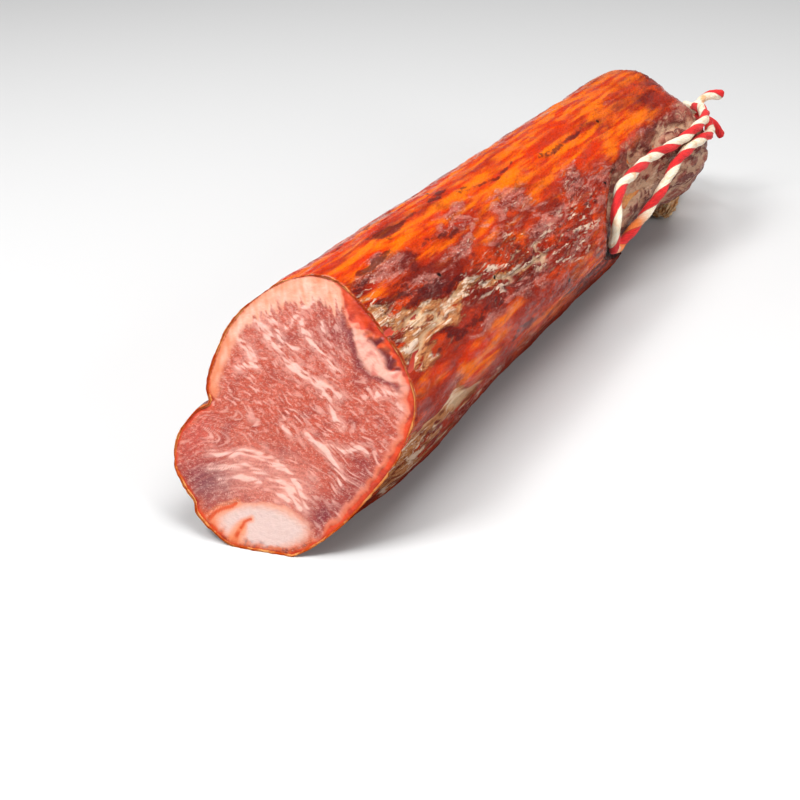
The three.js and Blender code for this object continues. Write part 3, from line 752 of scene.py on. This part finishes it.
def hook_patch(face):
    """The hooked band of fat: colour, share and the shade beside it."""
    loose = stack(face.x + 0.6 * face.wide + 0.5 * face.fine, face.z + 0.6 * face.tall)
    hook = face.near(HOOK, 1.0, loose)
    shade = face.near(HOOK[:3], 1.2, loose + (1.2, 1.0)) * (1 - hook)
    tone = step(0.0, 0.8, noise(face.flat / 2.6 + 33) + 0.3 * face.fine)
    return blend(hue("hook"), hue("warm hook"), tone), hook, shade


def pocket_patch(face):
    """The dark, wet pocket between the hook and the rim: colour and share."""
    flat = face.flat
    hot = step(0.1, 0.7, noise(flat / 2.2 + 8) + 0.3 * step(2.2, 0.5, face.depth))
    colour = blend(hue("pocket"), hue("hot pocket"), hot)
    colour = blend(colour, hue("pocket fat"), step(0.35, 0.8, noise(flat / 1.7 + 2)))
    return colour, near_line(face.bent, POCKET, 4.0)


def lens_patch(face):
    """The fat lens at the foot of the cut: colour and share."""
    reach = np.hypot((face.x - LENS_MIDDLE[0] + 0.5 * face.wide) / LENS_HALVES[0],
                     (face.z - LENS_MIDDLE[1] + 0.35 * face.tall) / LENS_HALVES[1])
    reach += 0.05 * face.fine
    share = 1 - step(0.9 - 0.16 * step(0, 10, face.x), 1.04, reach)
    return blend(hue("lens"), hue("lens rim"), step(0.6, 0.98, reach)), share


def crust_patch(face):
    """The dark crust under the lens: colour and share."""
    reach = face.depth + 1.3 * noise(face.flat / 2 + 14)
    share = (1 - step(0.9, 2.4, reach)) * step(-24, -18, face.x) * (1 - step(10, 16, face.x))
    share = share * (1 - step(9, 13, face.z))
    colour = blend(hue("crust"), hue("dark crust"), step(-0.1, 0.5, noise(face.flat + 5)))
    return colour, 0.8 * share


def band_share(face, rim_depth):
    """The strip of fat inside the rim on the right."""
    depth = np.interp(face.angle, BAND_ANGLES, BAND_DEPTHS)
    uneven = depth * (1 + 0.9 * noise(stack(face.angle / 11, 6.0, 0))) + 0.35 * face.feather
    return step(-0.7, 0.7, rim_depth + uneven - face.depth) * step(0.2, 1, depth)


def add_veins(face, colour):
    """Orange veins in the fat lens."""
    for line, width in VEINS:
        colour = blend(colour, hue("vein halo"), 0.6 * near_line(face.bent, line, 2.6 * width))
        colour = blend(colour, hue("vein"), 0.9 * near_line(face.bent, line, width))
    return colour


def add_rim(face, colour, rim_depth, rim):
    """The paprika-red rim, with a glow inside it where it is deep."""
    dark = step(-0.6, 0.9, noise(face.flat / 3 + 44) + 0.3 * face.fine)
    blaze = blend(hue("rim"), hue("dark rim"), dark)
    colour = blend(colour, blaze, 0.92 * rim)
    glow = np.exp(-((face.depth - rim_depth) / 1.3) ** 2) * step(0.6, 1.4, rim_depth)
    return blend(colour, hue("glow"), 0.6 * glow * (1 - rim))


def face_paint(face):
    """The cut face's colour (..., 3), its fat share and its wetness."""
    grained = marbling(face)
    cap_colour, cap = cap_patch(face)
    hook_colour, hook, shade = hook_patch(face)
    pocket_colour, pocket = pocket_patch(face)
    pocket = pocket * (1 - hook)
    rim_depth = np.interp(face.angle, RIM_ANGLES, RIM_DEPTHS)
    rim_depth = rim_depth * (1 + 0.8 * noise(stack(face.angle / 6, 1.0, 0)))
    rim = step(-0.45, 0.45, rim_depth + 0.35 * face.fine - face.depth)
    band = band_share(face, rim_depth)
    lens_colour, lens = lens_patch(face)

    colour = blend(lean_colour(face), hue("marbling"), grained)
    colour = blend(colour, hue("hook shade"), 0.75 * shade)
    colour = blend(colour, pocket_colour, pocket)
    colour = blend(colour, cap_colour, cap)
    colour = blend(colour, hook_colour, hook)
    colour = blend(colour, hue("band"), 0.7 * band)
    colour = blend(colour, lens_colour, lens)
    colour = blend(colour, *crust_patch(face))
    colour = add_rim(face, add_veins(face, colour), rim_depth, rim)
    fat = np.clip(np.maximum.reduce([grained, cap, hook, lens, band]) * (1 - rim), 0, 1)
    return colour, fat, np.clip(rim + 0.5 * pocket, 0, 1)


def cut_face(edge, middle):
    """The cut's rings from the middle to the edge, and the fields over them."""
    shares = np.linspace(0, 1, FACE_RINGS + 1)[1:, None, None]
    rings = middle + (edge - middle) * shares
    x, z = rings[..., 0], rings[..., 2]
    depth = np.full(x.shape, FAR)
    for across, _, up in edge[::2]:
        depth = np.minimum(depth, np.hypot(x - across, z - up))
    angle = np.degrees(np.arctan2(z - CORE[1], x - CORE[0]))
    return rings, Face(x, z, angle, depth)


def meat():
    """The meat: a finely divided cut face, and a plain flank that the casing hides."""
    columns = section_columns(FACE_COLUMNS)
    middle = np.array([CORE[0], cut_distance(*CORE), CORE[1]])
    rings, face = cut_face(cut_ring(columns, MEAT_INSET), middle)
    colour, fat, wet = face_paint(face)
    lift = 0.22 * noise(face.flat / 9) + 0.1 * noise(face.flat / 1.2) + 0.1 * fat
    lift -= 0.35 * np.exp(-face.depth / 0.8) + 0.5 * wet * step(0.5, 3, face.depth)
    out = np.array([-CUT_YAW, 1.0, -CUT_LEAN])
    out /= -np.linalg.norm(out)
    rings = rings + out * lift[..., None]
    rings[..., 2] = np.maximum(rings[..., 2], 0.05)
    inset = INNER_DEPTH + MEAT_GAP
    flank = skin_rings(columns, inset, INNER_SHARES[::2], INNER_BACK[::2], INNER_DOME)[1:]
    hidden = (len(flank), FACE_COLUMNS)
    marks = {
        "paint": np.concatenate([colour, np.broadcast_to(hue("hidden meat"), hidden + (3,))]),
        "fat": np.concatenate([fat, np.zeros(hidden)]),
        "wet": np.concatenate([wet, np.zeros(hidden)]),
    }
    end = np.array([CORE[0], LENGTH - inset, CORE[1]])
    start = middle + out * lift[0].mean()
    return loft("cured_meat", np.concatenate([rings, flank]), start, end, marks)


# ---- Meshes ----

def loft(name, rings, start, end, marks):
    """A closed mesh over rings (n, m, 3) in the loin's frame, with a fan to a point at each end.

    marks are values of the rings' points, (n, m) or (n, m, 3), kept as attributes."""
    count, sides = rings.shape[:2]
    points = np.vstack([start, rings.reshape(-1, 3), end])
    here = 1 + sides * np.arange(count - 1)[:, None] + np.arange(sides)
    turned = np.roll(here, -1, axis=1)
    quads = np.stack([here, here + sides, turned + sides, turned], axis=-1).reshape(-1, 4)
    side = np.arange(sides)
    after = (side + 1) % sides
    first = np.stack([0 * side, 1 + side, 1 + after], axis=1)
    base = 1 + (count - 1) * sides
    last = np.stack([0 * side + len(points) - 1, base + after, base + side], axis=1)
    mesh = bpy.data.meshes.new(name)
    faces = first.tolist() + quads.tolist() + last.tolist()
    mesh.from_pydata(((points + SHIFT) * MM).tolist(), [], faces)
    mesh.polygons.foreach_set("use_smooth", np.ones(len(faces), bool))
    for key, values in marks.items():
        coloured = values.ndim == 3
        flat = values.reshape(count * sides, -1)
        flat = np.vstack([flat[:sides].mean(axis=0), flat, flat[-sides:].mean(axis=0)])
        if coloured:
            attribute = mesh.attributes.new(key, "FLOAT_VECTOR", "POINT")
            attribute.data.foreach_set("vector", flat.astype(np.float32).ravel())
        else:
            attribute = mesh.attributes.new(key, "FLOAT", "POINT")
            attribute.data.foreach_set("value", flat.astype(np.float32).ravel())
    piece = bpy.data.objects.new(name, mesh)
    bpy.context.scene.collection.objects.link(piece)
    return piece


TWINE_SIDES = 28
TWINE_STEP = 0.55
LAY_LENGTH = 27.0
# The twine's radius across its two plies: the share left in the groove, how full the plies are and
# how much thicker a frayed end is.
GROOVE_SHARE = 0.78
PLY_POWER = 0.42
PLY_FULLNESS = 1.05
FRAY = 0.1


def twine(name, route, phase=0.0, frayed=True):
    """A two-ply twine along a line (n, 3) in mm, one ply red and one cream."""
    line = resampled(np.asarray(route, float), TWINE_STEP)
    way = directions(line)
    side = np.cross(way[0], [0.3, 0.1, 1.0])
    frames = []
    for direction in way:
        side = side - direction * (side @ direction)
        side /= np.linalg.norm(side)
        frames.append((side.copy(), np.cross(direction, side)))
    frames = np.array(frames)
    gone = np.arange(len(line)) * np.linalg.norm(line[1] - line[0])
    twist = 2 * np.pi * gone / LAY_LENGTH + phase
    turn = 2 * np.pi * np.arange(TWINE_SIDES) / TWINE_SIDES
    local = turn[None] - twist[:, None]
    ply = np.cos(local)
    radius = TWINE_RADIUS * np.maximum(GROOVE_SHARE, np.abs(ply) ** PLY_POWER) * PLY_FULLNESS
    strand = np.arctan2(np.sin(local), np.cos(local))
    radius += 0.07 * np.cos(strand * 8 + gone[:, None] * 1.9) * np.abs(ply) ** 0.3
    radius += 0.07 * noise(stack(np.cos(local) * 2.5, np.sin(local) * 2.5, gone[:, None] / 3))
    ends = np.minimum(gone, gone[-1] - gone)
    if frayed:
        radius = radius * (1 + FRAY * np.exp(-ends / 2.0))[:, None]
    rings = (line[:, None] + radius[..., None] * (
        np.cos(turn)[None, :, None] * frames[:, 0][:, None]
        + np.sin(turn)[None, :, None] * frames[:, 1][:, None]))
    marks = {
        "ply": ply,
        "lay": stack(np.cos(local) * TWINE_RADIUS, np.sin(local) * TWINE_RADIUS, gone[:, None]),
    }
    rings = rings[:, ::-1]
    marks = {key: values[:, ::-1] for key, values in marks.items()}
    return loft(name, rings, line[0] - 0.4 * way[0], line[-1] + 0.4 * way[-1], marks)


def join(pieces, name):
    """One object of several meshes."""
    bpy.ops.object.select_all(action="DESELECT")
    for piece in pieces:
        piece.select_set(True)
    bpy.context.view_layer.objects.active = pieces[0]
    bpy.ops.object.join()
    pieces[0].name = name
    return pieces[0]


def binding():
    """Three turns of the twine around the neck."""
    share = np.linspace(0, 1, 400)
    turn = KNOT_ANGLE + 2 * np.pi * BINDING_TURNS * share
    return twine("tie_binding", stack(
        BINDING_RADIUS * np.cos(turn),
        LENGTH + BINDING_START + BINDING_LENGTH * share,
        NECK_HEIGHT + BINDING_RADIUS * np.sin(turn),
    ))


def knot():
    """A pulled-tight overhand knot and the twine's two cut ends."""
    t = np.linspace(0.25, 2 * np.pi - 0.25, 300)
    centre = np.array(KNOT_CENTRE) + (0, LENGTH, 0)
    turns = stack(np.sin(t) + 2 * np.sin(2 * t), -1.15 * np.sin(3 * t), np.cos(t) - 2 * np.cos(2 * t))
    upper = spline([(1, 1, 2), (2, 6, 5.5), (4.5, 11, 6.8), (8, 17, 6)], 12)
    lower = spline([(2, 1, -2), (6, 4, -3.5), (9.5, 7.5, -7), (12, 12, -12)], 12)
    return join([
        twine("tie_knot", centre + turns * KNOT_SIZE, 1.0, False),
        twine("tie_end_a", centre + upper, 0.4),
        twine("tie_end_b", centre + lower, 2.4),
    ], "tie_knot")


# ---- Materials ----

class Paint:
    """A material built from nodes: each method adds one node or a few and returns their result."""

    def __init__(self, name):
        self.material = bpy.data.materials.new(name)
        self.material.use_nodes = True
        self.tree = self.material.node_tree
        self.shader = self.tree.nodes["Principled BSDF"]
        self.place = self.add("ShaderNodeTexCoord").outputs["Object"]

    def add(self, kind, **settings):
        node = self.tree.nodes.new(kind)
        for key, value in settings.items():
            setattr(node, key, value)
        return node

    def set(self, node, **settings):
        """Sets constants on a node's own inputs, with _ for the spaces in their names."""
        for key, value in settings.items():
            node.inputs[key.replace("_", " ")].default_value = value

    def feed(self, socket, value):
        if isinstance(value, bpy.types.NodeSocket):
            self.tree.links.new(value, socket)
        elif hasattr(value, "__len__") and len(value) == 3 and socket.type == "RGBA":
            socket.default_value = (*map(float, value), 1.0)
        else:
            socket.default_value = value

    def mark(self, name, kind="Fac"):
        return self.add("ShaderNodeAttribute", attribute_name=name).outputs[kind]

    def part(self, vector, axis):
        """One part of a vector: 0, 1 or 2 for X, Y or Z."""
        node = self.add("ShaderNodeSeparateXYZ")
        self.feed(node.inputs[0], vector)
        return node.outputs[axis]

    def grain(self, cells, offset=0.0, detail=3.0, rough=0.55, warp=0.0, source=None):
        """Noise with that many cells to a millimetre along each axis."""
        place = self.add("ShaderNodeMapping")
        self.feed(place.inputs["Vector"], source or self.place)
        place.inputs["Scale"].default_value = np.array(cells, float) * (1 / MM if source is None else 1)
        place.inputs["Location"].default_value = (offset, offset * 0.7, offset * 1.3)
        node = self.add("ShaderNodeTexNoise")
        self.feed(node.inputs["Vector"], place.outputs[0])
        self.set(node, Scale=1.0, Detail=detail, Roughness=rough, Distortion=warp)
        return node.outputs["Fac"]

    def ranged(self, value, low, high, start=0.0, end=1.0):
        node = self.add("ShaderNodeMapRange", interpolation_type="SMOOTHSTEP")
        self.feed(node.inputs["Value"], value)
        self.set(node, From_Min=low, From_Max=high, To_Min=start, To_Max=end)
        return node.outputs[0]

    def calculate(self, operation, first, second=0.0):
        node = self.add("ShaderNodeMath", operation=operation)
        self.feed(node.inputs[0], first)
        self.feed(node.inputs[1], second)
        return node.outputs[0]

    def times(self, first, second):
        return self.calculate("MULTIPLY", first, second)

    def plus(self, first, second):
        return self.calculate("ADD", first, second)

    def minus(self, first, second):
        return self.calculate("SUBTRACT", first, second)

    def lines(self, noise, low, high):
        """1 along winding lines of the noise, 0 between them."""
        away = self.calculate("ABSOLUTE", self.minus(noise, 0.5))
        return self.ranged(away, low, high, 1.0, 0.0)

    def mix(self, share, below, above):
        """Colours mixed by a share. Each colour is a socket or a name from HUES."""
        node = self.add("ShaderNodeMix", data_type="RGBA")
        self.feed(node.inputs[0], share)
        self.feed(node.inputs[6], hue(below) if isinstance(below, str) else below)
        self.feed(node.inputs[7], hue(above) if isinstance(above, str) else above)
        return node.outputs[2]

    def cover(self, mask, breakup, amount, soft=0.12, level=0.5):
        """Turns a soft mask into ragged patches: noise decides how far each patch reaches."""
        loosened = self.times(self.minus(breakup, 0.5), amount)
        return self.ranged(self.plus(mask, loosened), level - soft, level + soft)

    def raise_by(self, height, distance, strength, under=None):
        node = self.add("ShaderNodeBump")
        self.set(node, Distance=distance * MM, Strength=strength)
        self.feed(node.inputs["Height"], height)
        if under is not None:
            self.feed(node.inputs["Normal"], under)
        return node.outputs[0]

    def finish(self, piece, colour, roughness, normal, **settings):
        self.feed(self.shader.inputs["Base Color"], colour)
        self.feed(self.shader.inputs["Roughness"], roughness)
        self.feed(self.shader.inputs["Normal"], normal)
        self.set(self.shader, **settings)
        piece.data.materials.clear()
        piece.data.materials.append(self.material)


class CasingPaint(Paint):
    """Oily, paprika-stained casing: maroon and orange, with straw folds, and white crinkles that are
    partly painted highlights.
    """

    def __init__(self):
        super().__init__("cured_casing")
        self.broad = self.grain((0.05, 0.018, 0.05), 0, 4, 0.6, 0.6)
        self.medium = self.grain((0.16, 0.05, 0.16), 3, 5, 0.62, 0.4)
        self.mottle = self.grain((0.5, 0.22, 0.5), 7, 6, 0.68)
        self.grainy = self.grain((2.3, 0.8, 2.3), 9, 6, 0.75)
        self.streaks = self.grain((0.34, 0.035, 0.34), 5, 4, 0.55, 0.4)
        self.smear = self.grain((0.26, 0.08, 0.26), 17, 5, 0.6, 1.2)
        self.rib = self.grain((0.52, 0.05, 0.52), 2, 5, 0.62, 0.5)
        self.flecks = self.grain((0.5, 0.13, 0.5), 6, 4, 0.6, 1.6)
        self.height = self.part(self.place, 2)
        self.raised = self.mark("raised")
        self.behind = self.mark("behind")
        self.crinkle = self.mark("crinkle")
        self.bloom_and_sheen_share = self.cover(self.mark("bloom_and_sheen"), self.smear, 2.0, 0.22)
        self.straw = self.cover(self.mark("straw"), self.streaked(0.5), 2.4, 0.14)
        self.creases_and_glints = self.paint_creases_and_glints()

    def streaked(self, share):
        return self.plus(self.times(self.streaks, share), self.times(self.mottle, 1 - share))

    def paint_creases_and_glints(self):
        """Creases that stand out white where the skin is crinkled: pale dried casing, partly painted
        highlights.
        """
        patch = self.ranged(self.grain((0.3, 0.12, 0.3), 8), 0.35, 0.53)
        creases = self.ranged(self.grain((0.62, 0.12, 0.62), 15, 3, 0.6, 0.5), 0.575, 0.605)
        fine = self.lines(self.grain((0.9, 0.22, 0.9), 16, 2, 0.5, 0.5), 0.01, 0.035)
        fine = self.times(fine, self.ranged(self.flecks, 0.53, 0.6, 0, 0.8))
        strokes = self.calculate("MAXIMUM", creases, fine)
        return self.times(strokes, self.times(patch, self.ranged(self.crinkle, 0.2, 0.7)))


def stained(p):
    """Maroon and brown ground with the orange of the paprika oil."""
    colour = p.mix(p.ranged(p.broad, 0.36, 0.62), "maroon", "russet")
    colour = p.mix(p.ranged(p.medium, 0.46, 0.64), colour, "rust")
    colour = p.mix(p.ranged(p.mottle, 0.52, 0.66, 0, 0.7), colour, "dark maroon")
    oil = p.mix(p.ranged(p.streaks, 0.4, 0.62), "red oil", "orange oil")
    return p.mix(p.cover(p.mark("orange"), p.streaked(0.75), 1.3, 0.4, 0.42), colour, oil)


def bloomed_and_sheened(p, colour):
    """Dull, pinkish bloom that is partly painted sheen, painted glints on its grains, and dusky stains
    that are partly painted shade.
    """
    dull = p.mix(p.ranged(p.smear, 0.44, 0.6), "dull maroon", "dusty pink")
    dull = p.mix(p.ranged(p.grainy, 0.5, 0.62, 0, 0.4), dull, "pale pink")
    # Partly painted sheen: the pinkish bloom colour over the patches.
    colour = p.mix(p.times(p.bloom_and_sheen_share, 0.64), colour, dull)
    # Painted highlight: small white glints on the bloom's grains.
    sparkle = p.times(p.ranged(p.grainy, 0.58, 0.64, 0, 0.75), p.bloom_and_sheen_share)
    colour = p.mix(sparkle, colour, "sparkle")
    # Dark stains, partly painted shade low on the right flank.
    dusky = p.cover(p.mark("dusky"), p.mottle, 1.9, 0.14)
    return p.mix(p.times(dusky, 0.75), colour, "dusky")


def folded(p, colour):
    """Straw folds with white crests that are partly painted highlights and brown valleys of painted
    shade, and the grey skin behind the lip with a pale veil that is partly painted highlight on its
    lumps.
    """
    straw = p.mix(p.ranged(p.grainy, 0.34, 0.66), "straw", "pale straw")
    # Painted shade in the folds' valleys, where the ribs sink.
    straw = p.mix(p.ranged(p.rib, 0.38, 0.46, 0.85, 0), straw, "straw valley")
    # Paler crests, partly painted highlight where the ribs stand high.
    straw = p.mix(p.ranged(p.rib, 0.54, 0.585, 0, 0.92), straw, "straw crest")
    colour = p.mix(p.times(p.straw, 0.92), colour, straw)
    grey = p.mix(p.ranged(p.medium, 0.42, 0.58), "grey brown", "grey pink")
    # Pale veil, partly painted highlight: paler on raised lumps.
    veil_and_highlight_share = p.plus(p.grain((0.22, 0.1, 0.22), 13, 4, 0.6, 1.5), p.times(p.raised, 0.1))
    grey = p.mix(p.ranged(veil_and_highlight_share, 0.56, 0.66, 0, 0.7), grey, "veil")
    return p.mix(p.times(p.cover(p.behind, p.medium, 1.8, 0.3), 0.8), colour, grey)


def crinkled(p, colour):
    """Pale creases with painted highlights beside dark flecks, painted highlights on raised ridges and
    painted shade in hollows.
    """
    dark = p.times(p.ranged(p.flecks, 0.36, 0.44, 0.7, 0), p.crinkle)
    colour = p.mix(dark, colour, "fleck")
    # Pale dried creases, partly painted highlights on the crinkles.
    colour = p.mix(p.times(p.creases_and_glints, 0.9), colour, "crease")
    # Painted highlight: paler where the relief stands high.
    ridge = p.times(p.ranged(p.raised, 0.7, 1.5), p.ranged(p.behind, 0, 0.6, 1, 0.25))
    colour = p.mix(p.times(ridge, 0.7), colour, "ridge")
    # Painted shade: darker where the relief sinks into hollows.
    return p.mix(p.times(p.ranged(p.raised, -0.7, -0.2, 1, 0), 0.45), colour, "hollow")


def ended(p, colour):
    """Painted shade on the low flank, the tan tail, the edge on the cut and painted shade in the lip's
    crevice.
    """
    tail = p.mark("tail")
    # Painted shade: the flank darkens towards the floor, where less light reaches it.
    low = p.times(p.ranged(p.height, 0.008, 0.04, 0.74, 0), p.minus(1.0, tail))
    colour = p.mix(low, colour, "low flank")
    tan = p.mix(p.ranged(p.rib, 0.4, 0.6), "tan", "pale tan")
    colour = p.mix(p.times(tail, 0.88), colour, tan)
    edge = p.cover(p.mark("edge"), p.mottle, 0.5, 0.2, 0.62)
    colour = p.mix(edge, colour, p.mix(p.ranged(p.medium, 0.42, 0.6), "edge", "pale edge"))
    way = p.mark("way")
    right = p.times(p.ranged(way, 32, 44), p.ranged(way, 96, 106, 0.8, 0))
    colour = p.mix(p.times(edge, right), colour, "right edge")
    # Painted shade: the near-black crevice under the dent's lip.
    return p.mix(p.times(p.mark("crevice"), 0.96), colour, "crevice")


def pricked(p, colour):
    """Dark holes where the casing was pricked."""
    place = p.add("ShaderNodeCombineXYZ")
    p.feed(place.inputs[0], p.mark("along"))
    p.feed(place.inputs[1], p.mark("way"))
    for number, (at, around) in enumerate(PRICKS):
        reach = p.add("ShaderNodeVectorMath", operation="DISTANCE")
        p.feed(reach.inputs[0], place.outputs[0])
        reach.inputs[1].default_value = (at, around, 0)
        spot = p.ranged(reach.outputs["Value"], 0.5 + 0.1 * (number % 3), 1.1, 1, 0)
        colour = p.mix(spot, colour, "prick")
    return colour


def bumps(p):
    """Fine relief: grain, creases, ribs of the straw folds and pores."""
    height = p.plus(p.grain((0.9, 0.35, 0.9), 1, 6, 0.62), p.plus(
        p.times(p.creases_and_glints, 0.4), p.times(p.times(p.rib, p.straw), 0.8)))
    return p.raise_by(p.grainy, 0.25, 0.7, p.raise_by(height, 1.5, 0.85))


def add_shine(p, dull):
    """Oil above the low flank, except where the skin is dull."""
    lit = p.ranged(p.height, 0.012, 0.055)
    oily = p.ranged(p.grain((0.3, 0.1, 0.3), 21), 0.44, 0.58, 0.03, 0.55)
    coat = p.times(p.times(oily, lit), p.minus(1.0, dull))
    p.feed(p.shader.inputs["Coat Weight"], coat)
    p.feed(p.shader.inputs["Specular IOR Level"], p.times(lit, 0.1))


def paint_casing(piece):
    p = CasingPaint()
    colour = stained(p)
    for layer in (bloomed_and_sheened, folded, crinkled, ended, pricked):
        colour = layer(p, colour)
    dull = p.calculate("MAXIMUM", p.straw, p.times(p.bloom_and_sheen_share, 0.6))
    add_shine(p, dull)
    roughness = p.plus(p.ranged(p.mottle, 0.36, 0.62, 0.13, 0.34), p.times(dull, 0.22))
    p.finish(piece, colour, roughness, bumps(p), Coat_Roughness=0.06, IOR=1.46,
             Subsurface_Weight=0.04, Subsurface_Scale=0.002)


def paint_meat(piece):
    """The cut: grained lean meat and smooth fat, both a little wet."""
    p = Paint("cured_meat")
    fat = p.mark("fat")
    fibres = p.grain((0.9, 0.9, 1.5), 0, 5, 0.66, 0.8)
    tiny = p.grain((1.2, 1.9, 2.6), 2, 3, 0.55, 0.8)
    lean = p.times(p.ranged(fat, 0.15, 0.6, 1.0, 0.06), p.ranged(p.mark("wet"), 0, 0.6, 1.0, 0.1))
    shade = p.times(p.ranged(fibres, 0.36, 0.6, 0.36, 0.0), lean)
    colour = p.mix(shade, p.mark("paint", "Vector"), "fibre shade")
    colour = p.mix(p.times(p.ranged(tiny, 0.53, 0.66, 0, 0.36), lean), colour, "fibre fat")
    normal = p.raise_by(p.plus(fibres, p.times(tiny, 0.5)), 0.32, 0.7)
    roughness = p.plus(p.ranged(fibres, 0.3, 0.7, 0.3, 0.46), p.times(fat, 0.04))
    p.finish(piece, colour, roughness, normal, Coat_Weight=0.1, Coat_Roughness=0.12, IOR=1.44,
             Specular_IOR_Level=0.35, Subsurface_Weight=0.1, Subsurface_Scale=0.0025)


# Where fat has soaked into the loop near its turn, as distances along the twine in mm.
SOAKED_FROM = (104, 116)
SOAKED_TO = (132, 142)


def paint_twine(pieces):
    """Cotton twine: a red ply and a cream one, with fine spun fibres, fat stains and painted shade in
    the groove between the plies.
    """
    p = Paint("butcher_twine")
    lay = p.mark("lay", "Vector")
    spun = p.grain((2.2, 2.2, 0.35), 0, 4, 0.6, 0.3, lay)
    fuzz = p.grain((5.5, 5.5, 1.6), 3, 4, 0.65, 0, lay)
    stain = p.grain((0.12, 0.12, 0.12), 5, 4, 0.6)
    cream = p.mix(p.ranged(spun, 0.35, 0.65), "cream", "pale cream")
    cream = p.mix(p.ranged(stain, 0.55, 0.72, 0, 0.75), cream, "stain")
    gone = p.part(lay, 2)
    soaked = p.times(p.ranged(gone, *SOAKED_FROM), p.ranged(gone, *SOAKED_TO, 1, 0))
    cream = p.mix(p.times(soaked, 0.95), cream, "soaked")
    red = p.mix(p.ranged(spun, 0.35, 0.65), "red ply", "bright red ply")
    ply = p.mark("ply")
    edge = p.plus(ply, p.times(p.minus(fuzz, 0.5), 0.5))
    colour = p.mix(p.ranged(edge, -0.07, 0.07), cream, red)
    # Painted shade: darker in the groove between the two plies.
    groove = p.ranged(p.calculate("ABSOLUTE", ply), 0.0, 0.16, 0.4, 0)
    colour = p.mix(groove, colour, "groove")
    normal = p.raise_by(p.plus(spun, p.times(fuzz, 0.6)), 0.5, 0.8)
    for piece in pieces:
        p.finish(piece, colour, p.ranged(fuzz, 0.3, 0.7, 0.72, 0.92), normal, Sheen_Weight=0.1)


# ---- Setting ----

CAMERA_PLACE = (0.18505, -0.4176, 0.230)
CAMERA_TURN = (math.radians(59.4), 0.0, math.radians(30.1))
CAMERA_LENS = 54.77
SENSOR_WIDTH = 36.0
FLOOR_SIZE = 8
FLOOR_GREY = 0.66
FLOOR_ROUGHNESS = 0.7
SKY_STRENGTH = 0.2
# Each lamp's place, what it is turned to, its size in metres and its power in watts.
LAMPS = {
    "key": ((-0.35, -0.55, 0.95), (0, -0.03, 0.03), (0.4, 0.4), 9.2),
    "top": ((0.15, 0.1, 1.25), (0, 0.02, 0.03), (0.8, 0.8), 12.5),
    "side": ((0.95, -0.3, 0.5), (0, 0, 0.03), (0.25, 0.4), 3.5),
}


def camera():
    lens = bpy.data.cameras.new("view")
    lens.lens = CAMERA_LENS
    lens.sensor_width = SENSOR_WIDTH
    lens.clip_start = 0.01
    viewer = bpy.data.objects.new("view", lens)
    viewer.location = CAMERA_PLACE
    viewer.rotation_euler = CAMERA_TURN
    bpy.context.scene.collection.objects.link(viewer)
    bpy.context.scene.camera = viewer


def lamp(name, place, target, size, watts):
    light = bpy.data.lights.new(name, "AREA")
    light.shape = "RECTANGLE"
    light.size, light.size_y = size
    light.energy = watts
    holder = bpy.data.objects.new(name, light)
    holder.location = place
    holder.rotation_euler = (Vector(target) - Vector(place)).to_track_quat("-Z", "Y").to_euler()
    bpy.context.scene.collection.objects.link(holder)


def studio():
    """A plain pale floor and plain soft light."""
    bpy.ops.mesh.primitive_plane_add(size=FLOOR_SIZE)
    floor = bpy.context.object
    floor.name = "floor"
    paper = bpy.data.materials.new("paper")
    paper.use_nodes = True
    shader = paper.node_tree.nodes["Principled BSDF"]
    shader.inputs["Base Color"].default_value = (FLOOR_GREY, FLOOR_GREY, FLOOR_GREY, 1)
    shader.inputs["Roughness"].default_value = FLOOR_ROUGHNESS
    floor.data.materials.append(paper)
    world = bpy.data.worlds.new("sky")
    world.use_nodes = True
    background = world.node_tree.nodes["Background"]
    background.inputs["Color"].default_value = (1, 1, 1, 1)
    background.inputs["Strength"].default_value = SKY_STRENGTH
    bpy.context.scene.world = world
    for name, setting in LAMPS.items():
        lamp(name, *setting)
    bpy.context.scene.view_settings.view_transform = "Standard"


def loin_shift():
    """Where the loin's own frame stands in the row frame, in mm."""
    edge = cut_ring(section_columns(COLUMNS), 0.0)
    low = np.array(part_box("casing")[0]) / MM
    return np.array([low[0] - edge[:, 0].min(), low[1] - edge[:, 1].min(), 0.0])


def loop_path():
    """The hanging loop's centreline in the row frame, in metres."""
    route = spline(LOOP_ROUTE, 24)
    return route + np.array([0, LENGTH, 0]) * MM + SHIFT * MM


SHIFT = loin_shift()
camera()

path = loop_path()
loop = twine("tie_loop", path / MM - SHIFT, 0.6)
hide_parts("twine_hanging_loop")
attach(loop, "root")

skin_piece = casing()
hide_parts("casing")
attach(skin_piece, "root")
paint_casing(skin_piece)

meat_piece = meat()
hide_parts("meat")
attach(meat_piece, "root")
paint_meat(meat_piece)

binding_piece = binding()
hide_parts("twine_binding")
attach(binding_piece, "root")

knot_piece = knot()
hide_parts("twine_knot")
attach(knot_piece, "root")
paint_twine([loop, binding_piece, knot_piece])

studio()
